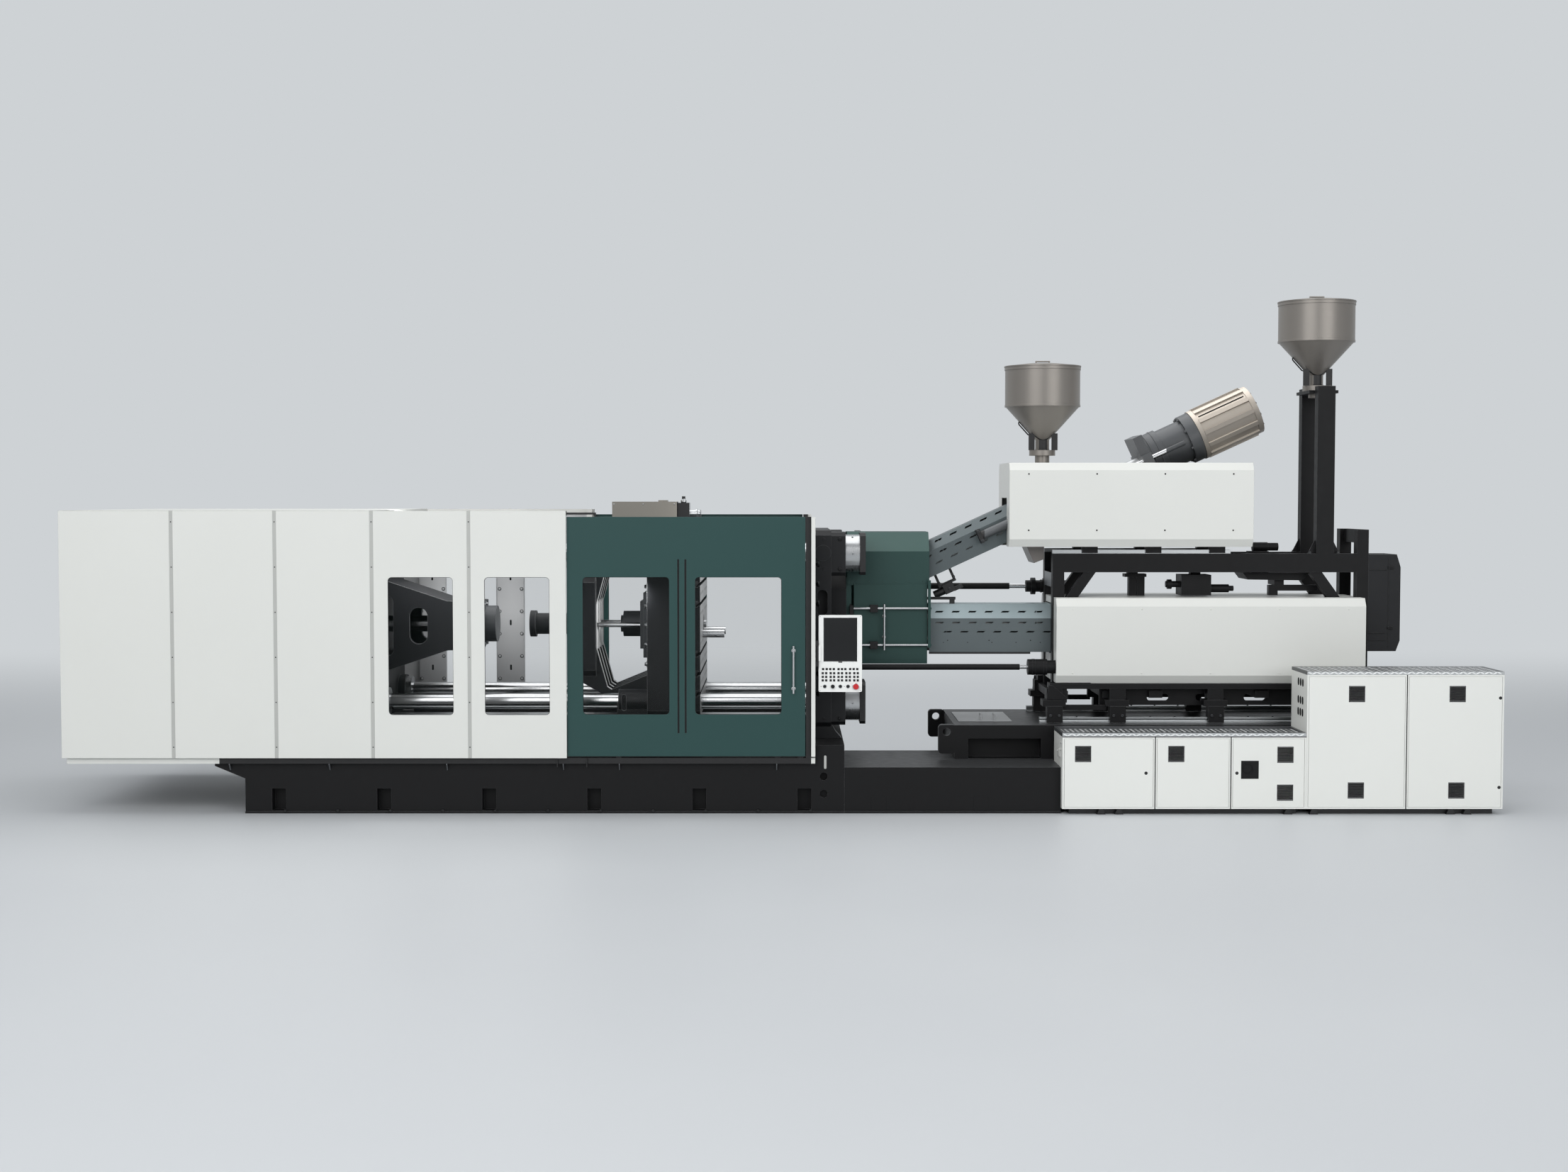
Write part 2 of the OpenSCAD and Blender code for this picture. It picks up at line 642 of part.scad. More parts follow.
// Cylinder tubes that pull the carriage towards the fixed platen
module carriage_cylinders() {
    cyl_x0 = platen_x + slab_t + gap;
    color("#2a2c2e") {
        difference() {
            union() {
                rod_x(cyl_x0, 1936, -pull_y, pull_front_z, 24);
                rod_x(cyl_x0, cyl_x0 + 50, -pull_y, pull_front_z, 50);
            }
            rod_x(700, 1937, -pull_y, pull_front_z, 15 + run);
        }
        difference() {
            union() {
                rod_x(cyl_x0, 1939, pull_y, pull_rear_z, 27);
                rod_x(cyl_x0, cyl_x0 + 50, pull_y, pull_rear_z, 54);
            }
            rod_x(700, 1940, pull_y, pull_rear_z, 19 + run);
        }
    }
}

// Cabinet carcass with an opening in front for its doors; each door is [left, right, 1 if hinged left or -1]
module carcass(x0, x1, z0, z1, doors) {
    y0 = -half_w;
    difference() {
        bx(x0, x1, y0, y0 + cabinet_d, z0, z1);
        for (d = doors) {
            bx(d[0] + jamb, d[1] - jamb, y0 - 1, y0 + cabinet_d - 20, z0 + sill, z1 - sill);
            rod_z(pin_x(d), pin_y, z0 + 1, z1 - 1, pin_r + run);
        }
    }
}
jamb = 14;
sill = 12;
pin_r = 3.5;
pin_y = -half_w + gap + 4;
function pin_x(d) = d[2] > 0 ? d[0] + jamb + 6 : d[1] - jamb - 6;

low_x0 = 2182;
low_x1 = 4085;
tall_x0 = low_x1 + gap;
low_split_1 = 2906;
low_split_2 = 3497;
tall_split = tall_x0 + (x_right - tall_x0) * 0.5075;
low_doors = [[low_x0, low_split_1, 1], [low_split_1, low_split_2, 1], [low_split_2, low_x1, -1]];
tall_doors = [[tall_x0, tall_split, 1], [tall_split, x_right, -1]];
cab_z0 = 45;

// Folded foot of a cabinet, wider at the floor
module cabinet_foot(x) {
    plate_xz(-half_w + 14, -half_w + 61)
        polygon([[x - 34, 0], [x + 34, 0], [x + 14, cab_z0 + eps], [x - 14, cab_z0 + eps]]);
}

module low_cabinet() {
    color("#dcdcd6") {
        carcass(low_x0, low_x1, cab_z0, low_h - 32, low_doors);
        difference() {
            bx(low_x0, low_x1, -half_w + 4, -half_w + cabinet_d, low_h - 32, low_h);
            bx(low_x0 + 20, low_x1 - 20, -half_w + 60, -half_w + cabinet_d - 60, low_h - 12, low_h + 1);
        }
        bx(low_x0 + 60, low_x1 - 60, -half_w + 60, -half_w + cabinet_d - 60, 0, cab_z0);
        for (x = [2490, 2630, 3950]) cabinet_foot(x);
    }
}

module tall_cabinet() {
    color("#dcdcd6") {
        carcass(tall_x0, x_right, cab_z0, tall_h - 26, tall_doors);
        bx(tall_x0, x_right, -half_w + 4, -half_w + cabinet_d, tall_h - 26, tall_h);
        bx(tall_x0 + 60, x_right - 60, -half_w + 60, -half_w + cabinet_d - 60, 0, cab_z0);
        for (x = [tall_x0 + 65, x_right - 400, x_right - 270]) cabinet_foot(x);
    }
}

// Hinged door leaf with folded edges; vents and the lock are [share of the width, height]
module cab_door(d, z1, vents, lock) {
    x0 = d[0] + jamb + 2;
    x1 = d[1] - jamb - 2;
    w = d[1] - d[0];
    difference() {
        bx(x0, x1, -half_w + gap, -half_w + 24, cab_z0 + sill + 1, z1 - sill - 1);
        bx(x0 + sheet, x1 - sheet, -half_w + gap + sheet, -half_w + 25, cab_z0 + sill + 4, z1 - sill - 4);
        for (v = vents, i = [-4:4])
            bx(d[0] + v[0] * w - 58, d[0] + v[0] * w + 58, -half_w - 1, -half_w + 4,
                v[1] + i * 12 - 4, v[1] + i * 12 + 4);
    }
    rod_z(pin_x(d), pin_y, cab_z0 + 2, z1 - 2, pin_r);
    rod_y(d[0] + lock[0] * w, -half_w + gap, -half_w + 20, lock[1], 12);
}

// Barrel along the X axis with its nozzle tip at x0; bore is the radius for the screw
module barrel_form(x0, x1, od, bore, tip_r) {
    r = od / 2;
    rotate([0, 90, 0]) rotate_extrude() polygon([[tip_r * 0.35, x0], [tip_r, x0 + 18], [tip_r, x0 + 60],
        [r * 0.55, x0 + 110], [r * 0.55, x0 + 170], [r, x0 + 220], [r, x1], [bore, x1], [bore, x0 + 230],
        [tip_r * 0.35, x0 + 170]]);
}

module main_barrel() {
    color("#8d9192") difference() {
        union() {
            translate([0, 0, axis_z]) barrel_form(main_tip_x, main_rear_x, barrel_d, screw_d / 2 + run, 40);
            for (x = [760, 1010, 1260, 1510, 1760, 2010])
                difference() {
                    rod_x(x, x + 200, 0, axis_z, barrel_d / 2 + 18);
                    rod_x(x - 1, x + 201, 0, axis_z, barrel_d / 2 - 1);
                }
            difference() {
                bx(2340, 2620, -170, 170, axis_z - 160, axis_z + 160);
                rod_x(2339, 2621, 0, axis_z, barrel_d / 2 - 1);
            }
        }
        rod_z(2480, 0, axis_z, axis_z + 170, 45);
    }
}

module main_screw() {
    color("#b4b8ba") {
        rod_x(main_tip_x + 330, 2900 - gap, 0, axis_z, screw_d / 2);
        cone_x(main_tip_x + 250, main_tip_x + 331, 0, axis_z, 6, screw_d / 2);
    }
}

// Injection drive in the lower cover: thrust block on the screw's end and its motor
module main_drive() {
    color("#4a4e50") difference() {
        union() {
            bx(2820, 2980, -190, 190, axis_z - 190, axis_z + 160);
            bx(2820, 2980, -300, 300, axis_z - 80, axis_z + 40);
            rod_x(2960, 3500, 0, axis_z, 165);
            rod_x(3440, 3500, 0, axis_z, 180);
        }
        rod_x(2819, 2900, 0, axis_z, screw_d / 2 + run);
        both() rod_x(2819, 2981, -250, axis_z - 30, guide_r + run);
    }
}

slot_pitch = 137;
slot_rows = [[0, 46], [0, -43], [68, -118]];    // shift along the cover and height over its shoulder
// Perforated sheet cover of a barrel; local X runs along it, z0 and z1 are its lower and upper edges
module perforated_cover(x0, x1, top, shoulder, bottom) {
    hw = barrel_cover_hw;
    t = 4;
    n = floor((x1 - x0 - 60) / slot_pitch);
    difference() {
        plate_yz(x0, x1) polygon([[-hw, bottom], [-hw, shoulder], [-hw + 80, top], [hw - 80, top], [hw, shoulder],
            [hw, bottom], [hw - t, bottom], [hw - t, shoulder - 2], [hw - 80 - t / 2, top - t],
            [-hw + 80 + t / 2, top - t], [-hw + t, shoulder - 2], [-hw + t, bottom]]);
        for (i = [0:n - 1], row = slot_rows) translate([x0 + 50 + i * slot_pitch + row[0], 0, 0])
            plate_xz(-hw - 1, hw + 1) translate([0, shoulder + row[1]])
                polygon([[0, 0], [60, 0], [73, 13], [13, 13]]);
    }
}

// Plate across the inside of a barrel cover, seated round a heater band of radius r
module cover_hanger(x, top, shoulder, r) {
    hw = barrel_cover_hw - 4 + eps;
    difference() {
        plate_yz(x, x + 6) polygon([[-hw, -60], [-hw, shoulder - 2], [-hw + 78, top - 4 + eps],
            [hw - 78, top - 4 + eps], [hw, shoulder - 2], [hw, -60]]);
        rod_x(x - 1, x + 7, 0, 0, r + gap);
    }
}

module barrel_cover() {
    color("#565f61") translate([0, 0, axis_z]) {
        perforated_cover(cover_x0, mez_x0 + 16, 171, 55, -224);
        for (x = [1350, 2100]) cover_hanger(x, 171, 55, barrel_d / 2 + 18);
    }
    color("#202223") {
        both() bx(cover_x0, 2050, -barrel_cover_hw, -barrel_cover_hw + 14, axis_z - 240, axis_z - 224 - gap);
        bx(cover_x0 - 6, 1437, -100, -70, axis_z + 205, axis_z + 228);
        bx(1388, 1430, -98, -72, axis_z + 171 + gap, axis_z + 206);
    }
}

module upper_barrel_cover() {
    color("#565f61") difference() {
        on_slope() {
            perforated_cover(1210, 2130, 137, 59, -139);
            for (x = [1430, 1900]) cover_hanger(x, 137, 59, up_barrel_d / 2 + 10);
        }
        bx(cover_x0 - 300, cover_x0, -200, 200, 1500, 2400);
    }
}

// Chrome rods of the carriage cylinders and the black housings that hold them
module pull_rods() {
    color("#c8cbcc") {
        rod_x(1200, 2001, -pull_y, pull_front_z, 15);
        rod_x(1200, 2079, pull_y, pull_rear_z, 19);
    }
    color("#2c2e30") {
        rod_x(2001 - eps, 2160, -pull_y, pull_front_z, 64);
        rod_x(2159, 2240 - gap, -pull_y, pull_front_z, 54);
        rod_x(2079 - eps, 2450, pull_y, pull_rear_z, 50);
        rod_x(2123, 2160, pull_y, pull_rear_z, 72);
    }
}

// Sled of the injection carriage: side beams, cross members, feet and guide shoes
module carriage_frame() {
    shoe_z0 = carriage_base_top + 6;
    beam_top = main_cover_z0 - gap;
    flange_z = beam_top - 44;
    web_x0 = 2600;
    web_y = mez_y + gap;
    sled_x1 = 4765;
    color("#1d1f20") {
        difference() {
            union() {
                both() {
                    bx(2176, sled_x1, -rail_y - 20, -web_y, flange_z, beam_top);
                    difference() {
                        bx(web_x0, sled_x1, -web_y - 40, -web_y, web_z0, flange_z + 1);
                        for (x = [2990, 3388, 3786]) plate_xz(-web_y - 41, -web_y + 1)
                            round_rect(x, x + 183, web_z0 + 35, web_z0 + 93, 28);
                    }
                    for (x = foot_xs) {
                        bx(x, x + foot_l, -rail_y - 50, -rail_y + 50, shoe_z0, web_z0 + 5);
                        bx(x - 35, x + foot_l + 25, -rail_y - 46, -web_y - 30, web_z0 + 4, web_z0 + 55);
                        bx(x, x + foot_l, -rail_y - 15, -web_y - 30, web_z0 + 54, flange_z + 1);
                    }
                    bx(foot_xs[0] + 40, web_x0 + 40, -rail_y, -rail_y + 40, web_z0 - 30, web_z0 + 10);
                    bx(foot_xs[0] + foot_l - 20, foot_xs[0] + foot_l + 40, -rail_y, -web_y, web_z0 + 30, flange_z + 1);
                }
                for (x = [2180, 3000, 3870, 4655])
                    bx(x, x + 110 + (x == 2180 ? 40 : 0), -rail_y + 59, rail_y - 59, sled_z0, posts_z0);
                both() bx(2180, 2330, -rail_y + 10, -rail_y + 61, sled_z0, posts_z0);
                difference() {
                    for (x = [2630, 3910]) bx(x, x + 60, -300, 300, sled_z0, axis_z + 180);
                    rod_x(2629, 2691, 0, axis_z, barrel_d / 2 + gap);
                    rod_x(3909, 3971, 0, axis_z, 190);
                }
                bx(2620, 2760, -rail_y + 59, rail_y - 59, sled_z0, posts_z0);
                both() rod_x(2689, 3911, -250, axis_z - 30, guide_r);
                bx(2240, 2290, -pull_y - 30, -pull_y + 80, beam_top - 10, pull_front_z + 70);
            }
            both() bx(2000, carriage_x1, -rail_y - 24 - gap, -rail_y + 24 + gap,
                carriage_base_top, carriage_base_top + rail_h + gap + gap);
        }
        both() plate_xz(-rail_y - 30, -rail_y - 20 - gap) polygon([[2151, web_z0 + 60], [2334, web_z0 + 60],
            [2200, flange_z + 30], [2165, flange_z + 30]]);
    }
}
web_z0 = 771;
foot_xs = [2152, 2666, 3465, 4600];
foot_l = 128;

// Raised frame over the main unit, with braces, rails and the hopper's pedestal
module mezzanine_frame() {
    y1 = mez_y;
    y0 = mez_y - post_w;
    beam_z = mez_top - mez_beam_h;
    color("#242627") {
        both() {
            bx(mez_x0, mez_x0 + post_w, -y1, -y0, posts_z0 + gap, mez_top);
            bx(mez_x1 - post_w, mez_x1, -y1, -y0, posts_z0 + gap, 2210);
            bx(mez_x0 + post_w - eps, mez_x1 - post_w + eps, -y1, -y0, beam_z, mez_top);
            plate_xz(-y1 + 8, -y0 - 8)
                polygon([[2472, beam_z + eps], [2571, beam_z + eps], [mez_x0 + post_w - eps, 1492],
                    [mez_x0 + post_w - eps, 1631]]);
            plate_xz(-y1 + 8, -y0 - 8)
                polygon([[4323, beam_z + eps], [4430, beam_z + eps], [mez_x1 - post_w + eps, 1470],
                    [mez_x1 - post_w + eps, 1330]]);
            bx(4378, 4521, -y1, -y0, mez_top - eps, hopper_2_z + 85);
            plate_xz(-y0 - 54, -y0 - 44)
                polygon([[4521 - eps, 2130], [4521 - eps, mez_top - eps], [4580, mez_top - eps]]);
            plate_xz(-y0 - 54, -y0 - 44)
                polygon([[4378 + eps, 2130], [4378 + eps, mez_top - eps], [4319, mez_top - eps]]);
        }
        bx(mez_x0, mez_x0 + 60, -y0 - eps, y0 + eps, 1737, 1855);
        bx(mez_x1 - 60, mez_x1, -y0 - eps, y0 + eps, 2100, 2210);
        bx(mez_x1 - 60, mez_x1, -y0 - eps, y0 + eps, 1870, 1980);
        for (c = mez_cross) bx(c[0], c[1], -y0 - eps, y0 + eps, mez_top - 100, mez_top - 20);
        difference() {
            bx(4330, 4570, -y0 - eps, y0 + eps, hopper_2_z + 30, hopper_2_z + 55 - gap);
            rod_z(hopper_2_x, 0, hopper_2_z, hopper_2_z + 60, 62);
        }
        difference() {
            bx(2230, 2300, y1 - eps, y1 + 164, main_cover_z1 + 6, pull_rear_z + 64);
            rod_x(2229, 2301, pull_y, pull_rear_z, 50 + gap);
        }
    }
    color("#9a9c9b") both() bx(mez_x0, 3681, -y0 - 70, -y0 - 25, mez_top - eps, mez_top + 32);
}

// Cover with bevelled long edges; both ends closed
module bevel_cover(x0, x1, hw, z0, z1, bevel, t) {
    difference() {
        plate_yz(x0, x1) polygon([[-hw, z0 + bevel], [-hw + bevel * 0.6, z0], [hw - bevel * 0.6, z0], [hw, z0 + bevel],
            [hw, z1 - bevel], [hw - bevel * 0.6, z1], [-hw + bevel * 0.6, z1], [-hw, z1 - bevel]]);
        plate_yz(x0 + t, x1 - t) polygon([[-hw + t, z0 + bevel], [-hw + bevel * 0.6 + t, z0 + t],
            [hw - bevel * 0.6 - t, z0 + t], [hw - t, z0 + bevel], [hw - t, z1 - bevel],
            [hw - bevel * 0.6 - t, z1 - t], [-hw + bevel * 0.6 + t, z1 - t], [-hw + t, z1 - bevel]]);
    }
}

module main_cover() {
    color("#dfe0db") difference() {
        bevel_cover(main_cover_x0, main_cover_x1, main_cover_hw, main_cover_z0, main_cover_z1, 66, 4);
        both() {
            bx(mez_x0 - 4, 2445, -mez_y - 4, -mez_y + post_w + 4, 900, 1700);
            bx(4450, mez_x1 + 4, -mez_y - 4, -mez_y + post_w + 4, 900, 1700);
            bx(mez_x0, mez_x0 + 300, -main_cover_hw + 12, 0, main_cover_z0 - 1, main_cover_z0 + 5);
        }
        bx(main_cover_x0 - 1, main_cover_x0 + 5, -barrel_cover_hw - 6, barrel_cover_hw + 6, axis_z - 240, axis_z + 180);
        bx(2600, 4000, -310, 310, main_cover_z0 - 1, main_cover_z0 + 5);
        bx(mez_x0, mez_x0 + 300, -300, 300, main_cover_z0 - 1, main_cover_z0 + 5);
        bx(mez_x1 - 300, mez_x1, -300, 300, main_cover_z0 - 1, main_cover_z0 + 5);
        rod_x(main_cover_x0 - 1, main_cover_x0 + 5, -pull_y, pull_front_z, 58);
    }
}

module electric_box() {
    color("#2a2c2d") difference() {
        plate_xz(-mez_y, 60) polygon([[mez_x1 + gap, 2007], [5040, 2007], [5072, 1902], [5072, 1300], [5040, 1211],
            [mez_x1 + gap, 1211]]);
        translate([0, 0, 2007]) rotate([-22, 0, 0]) bx(4700, 5200, -900, 0, 110, 400);
    }
}

// Hopper: straight rim, cone, neck and foot flange; hollow
module hopper(x, z0) {
    r = hopper_d / 2;
    t = 4;
    color("#8a867f") translate([x, 0, z0]) {
        difference() {
            union() {
                cylinder(h = 110, r = 60);
                translate([0, 0, 55]) cylinder(h = 45, r = 108);
                translate([0, 0, 108]) cylinder(h = 90, r = 58);
                translate([0, 0, 186]) cylinder(h = 280, r1 = 58, r2 = r);
                translate([0, 0, 466 - eps]) cylinder(h = 320, r = r);
                translate([0, 0, 458]) cylinder(h = 16, r = r + 3);
                translate([0, 0, 762]) cylinder(h = 24, r = r + 5);
            }
            translate([0, 0, -1]) cylinder(h = 250, r = 50);
            translate([0, 0, 190]) cylinder(h = 277, r1 = 50, r2 = r - t);
            translate([0, 0, 466]) cylinder(h = 322, r = r - t);
        }
        for (s = [-1, 1]) translate([s * 95 - 25, -60, 99]) cube([50, 12, 140]);
    }
}

module hopper_lid(x, z0) {
    r = hopper_d / 2;
    color("#8f8b84") translate([x, 0, z0 + 786 + gap]) {
        cylinder(h = 10, r = r + 8);
        difference() {
            translate([0, 0, -20]) cylinder(h = 21, r = r - 4 - 2);
            translate([0, 0, -21]) cylinder(h = 21, r = r - 12);
        }
        translate([0, 0, 9]) cylinder(h = 22, r1 = r + 6, r2 = r * 0.45);
        for (s = [-1, 1]) translate([s * 55, 0, 30]) cylinder(h = 22, r = 6);
        translate([-61, 0, 50]) rotate([0, 90, 0]) cylinder(h = 122, r = 6);
    }
}

// Valve block and lines under the raised frame
module mezzanine_valves() {
    hang_z = mez_top - 100 - gap;
    color("#232526") {
        bx(2850, 3030, -60, 60, 1812, 1838);
        bx(2888, 2950, -40, 40, main_cover_z1 + gap, 1813);
        bx(2958, 3019, -40, 40, main_cover_z1 + gap, 1813);
        bx(2880, 2960, -50, 50, 1837, hang_z);
        bx(3294, 3540, -200, 40, 1665, 1835);
        bx(3397, 3480, -60, 20, 1834, hang_z);
        rod_x(3177, 3295, -120, 1755, 26);
        rod_x(3190, 3225, -120, 1755, 40);
        rod_x(3539, 3700, -120, 1720, 34);
        rod_x(3640, 3739, -120, 1720, 22);
        plate_xz(-170, 170) polygon([[3807, 1850], [3850, 1795], [4300, 1788], [4347, 1850]]);
        bx(3890, 4030, -120, 120, 1849, hang_z);
        bx(4035, 4440, -120, -60, 1700, 1748);
        bx(4035, 4110, -120, -60, 1662, 1701);
        bx(4080, 4160, -120, 100, 1747, 1796);
        bx(3880, 4040, -90, 30, mez_top - 20 + gap, mez_top + 14);
        rod_x(3916, 4040, -30, mez_top + 50, 38);
        rod_x(4039, 4127, -30, mez_top + 50, 33);
    }
}

// Sled of the upper unit on its guide shoes, with the cradle of the inclined barrel
module upper_sled() {
    y_in = mez_y - post_w;
    color("#242627") {
        both() for (x = [2459, 2982, 3506]) difference() {
            bx(x, x + 128, -y_in - 85, -y_in - 10, mez_top + 5, mez_top + 72);
            bx(x - 1, x + 129, -y_in - 70 - gap, -y_in - 25 + gap, mez_top, mez_top + 32 + gap);
        }
        bx(2240, 3720, -320, 320, mez_top + 72 - eps, mez_top + 100);
        for (x = [2440, 3640]) bx(x, x + 60, -358, 358, up_cover_z0 + 4 + gap, mez_top + 90);
        for (x = [2260, 2350]) difference() {
            bx(x, x + 50, -140, 140, mez_top + 99, slope_z(x) + 60);
            on_slope() rod_x(2100, 3200, 0, 0, up_barrel_d / 2 + gap);
        }
    }
}

module upper_cover() {
    color("#dfe0db") difference() {
        bevel_cover(up_cover_x0, up_cover_x1, up_cover_hw, up_cover_z0, up_cover_z1, 62, 4);
        bx(up_cover_x0 - 1, up_cover_x0 + 5, -barrel_cover_hw - 8, barrel_cover_hw + 8, 2060, 2470);
        bx(up_cover_x0 + 1, up_cover_x0 + 120, -barrel_cover_hw - 8, barrel_cover_hw + 8, 2060, 2100);
        bx(2230, 3770, -324, 324, up_cover_z0 - 1, up_cover_z0 + 5);
        bx(2760, 3560, -300, 300, up_cover_z1 - 5, up_cover_z1 + 1);
        rod_z(hopper_1_x, 0, up_cover_z1 - 5, up_cover_z1 + 1, 66);
        on_slope() rod_x(1700, 2200, -side_cyl_y, 0, side_cyl_r + 2);
    }
    color("#b5aea2") difference() {
        plate_xz(-190, 190)
            polygon([[2015, up_cover_z0 - gap], [2077, 1932], [2159, 1964], [2159, up_cover_z0 - gap]]);
        plate_xz(-186, 186)
            polygon([[2020, up_cover_z0 + 1], [2079, 1938], [2160, 1969], [2160, up_cover_z0 + 1]]);
    }
}
side_cyl_y = 232;
side_cyl_r = 37;

// Inclined barrel with heater bands, feed block and the chrome bars that guide its drive
module upper_barrel() {
    color("#8d9192") on_slope() difference() {
        union() {
            barrel_form(up_tip, up_rear, up_barrel_d, up_screw_d / 2 + run, 34);
            for (x = [900, 1130, 1380, 1600, 1820]) difference() {
                rod_x(x, x + 190, 0, 0, up_barrel_d / 2 + 10);
                rod_x(x - 1, x + 191, 0, 0, up_barrel_d / 2 - 1);
            }
        }
    }
    color("#8d9192") difference() {
        union() {
            bx(hopper_1_x - 70, hopper_1_x + 70, -70, 70, slope_z(hopper_1_x) - 20, up_cover_z1 - 20);
            rod_z(hopper_1_x, 0, up_cover_z1 - 21, hopper_1_z - gap, 60);
        }
        on_slope() rod_x(2000, 2700, 0, 0, up_barrel_d / 2 + gap);
        rod_z(hopper_1_x, 0, 2300, hopper_1_z + 1, 50);
    }
    color("#3a3c3d") on_slope() {
        rod_x(1770, 2300, -side_cyl_y, 0, side_cyl_r);
        bx(1738, 1771, -side_cyl_y - 42, -barrel_cover_hw - gap, -56, 62);
        for (s = [1287, 1420]) bx(s, s + 20, -20, 20, -250, -98);
        bx(1287, 1440, -26, 26, -262, -240);
        bx(1312, 1402, -45, 45, -335, -250);
        rod_x(1222, 1330, 0, -300, 32);
        bx(1390, 1470, -18, 18, -340, -308);
    }
    color("#c8cbcc") on_slope() {
        both() rod_x(2699, 3600, -up_guide_y, 0, up_guide_r);
        difference() {
            bx(2640, 2700, -270, 270, -120, 120);
            rod_x(2639, 2701, 0, 0, up_barrel_d / 2 + gap);
        }
    }
}

module upper_screw() {
    color("#b4b8ba") on_slope() {
        rod_x(up_tip + 320, 3280 - gap, 0, 0, up_screw_d / 2);
        cone_x(up_tip + 260, up_tip + 321, 0, 0, 5, up_screw_d / 2);
    }
}

// Gearbox with its flange, riding on the guide bars
module upper_gearbox() {
    color("#3a3c3d") on_slope() difference() {
        union() {
            bx(3230, 3310, -205, 205, -205, 205);
            bx(3230, 3310, -270, 270, -45, 45);
            rod_x(3300, 3440, 0, 0, 190);
            rod_x(3430, 3700, 0, 0, 175);
            rod_x(3660, 3752, 0, 0, 205);
        }
        rod_x(3229, 3280, 0, 0, up_screw_d / 2 + run);
        both() rod_x(3229, 3311, -up_guide_y, 0, up_guide_r + run);
    }
}

// Fluted drive motor
module upper_motor() {
    color("#9a928a") on_slope() difference() {
        union() {
            rod_x(3752 + gap, 4270, 0, 0, 200);
            for (a = [0:30:330]) rotate([a, 0, 0]) bx(3790, 4230, -18, 18, 190, 216);
            rod_x(3752 + gap, 3790, 0, 0, 212);
            rod_x(4230, 4274, 0, 0, 206);
        }
    }
}

// Moving platen: a box casting with mould wall, back wall, ribs and tie bar collars
module moving_platen() {
    half_h = platen_h / 2;
    low = rail_top + gap - axis_z;
    color("#2a2c2e") difference() {
        union() {
            translate([0, 0, axis_z]) plate_yz(mid_x, mp_x1) polygon([[-platen_w / 2, low + 40],
                [-platen_w / 2 + 40, low], [platen_w / 2 - 40, low], [platen_w / 2, low + 40],
                [platen_w / 2, half_h - 40], [platen_w / 2 - 40, half_h], [-platen_w / 2 + 40, half_h],
                [-platen_w / 2, half_h - 40]]);
            translate([0, 0, axis_z]) plate_yz(mp_x0, back_x1) platen_outline(760, 900, 90);
            translate([0, 0, axis_z]) plate_xz(-box_hw, box_hw) polygon([[mp_x0 + 30, -470],
                [mp_x0 + 237, -590], [mid_x + eps, -560], [mid_x + eps, 560], [mp_x0 + 237, 590],
                [mp_x0 + 30, 470]]);
            each_tie() rod_x(shoe_x0 + 10, mid_x + eps, 0, 0, tie_r + 34);
            both() bx(shoe_x0, mid_x + eps, -tie_y - shoe_hw, -tie_y + shoe_hw, rail_top + gap, axis_z - tie_z);
            rod_x(mp_x0 - stub_l, mp_x0 + eps, 0, axis_z, stub_r);
            rod_x(mp_x0 - stub_l, mp_x0 - stub_l + 50, 0, axis_z, stub_r + 22);
            rod_x(mp_x0 - 90, mp_x0 + eps, 0, axis_z, stub_r + 60);
        }
        translate([0, 0, axis_z]) plate_xz(-box_hw - 1, box_hw + 1) polygon(opening(0));
        for (y = [-box_hw + rib_t : 2 * (box_hw - rib_t / 2) / 3 : box_hw - rib_t])
            translate([0, 0, axis_z]) plate_xz(y, y + (2 * box_hw - 4 * rib_t) / 3) polygon(opening(rib_d));
        bx(mid_x - 1, mid_x + 215, -245, 245, axis_z - 150, axis_z + 120);
        each_tie() rod_x(shoe_x0 - 1, mp_x1 + 1, 0, 0, tie_r + run);
        rod_x(mid_x - 1, mp_x1 + 1, 0, axis_z, eject_r + run);
        both() rod_x(mid_x - 1, mp_x1 + 1, -eject_y, axis_z + eject_z, eject_r + run);
        rod_x(mp_x1 - 40, mp_x1 + 1, 0, axis_z, 80);
        both() plate_xz(-tie_y - tie_r - 36, -tie_y - tie_r - 6)
            round_rect(shoe_x0 + 37, shoe_x0 + 75, axis_z - tie_z - 70, axis_z - tie_z + 60, 18.5);
        t_slots(mp_x1, 1);
    }
}

// Opening through the platen's box, in X and height over the axis, widened by g between the ribs
function opening(g) = [[back_x1 - g, -175], [back_x1 + 90 - g, -500 - g], [back_x1 + 125, -522 - g],
    [mid_x + eps, -392 - g], [mid_x + eps, 392 + g], [back_x1 + 125, 522 + g], [back_x1 + 90 - g, 500 + g],
    [back_x1 - g, 175]];

module platen_valve_unit() {
    z0 = axis_z + platen_h / 2 + gap;
    color("#b5aea2") bx(-1370, -850, -620, -400, z0, 2440);
    color("#b5aea2") bx(-1000, -930, -600, -420, 2440 - eps, 2452);
    color("#2a2c2e") {
        bx(-850 + eps, -750, -600, -430, z0 + 60, 2431);
        rod_z(-800, -520, 2430, 2483, 14);
    }
    color("#b9bcbd") rod_x(-750 - eps, -672, -520, 2340, 36);
}

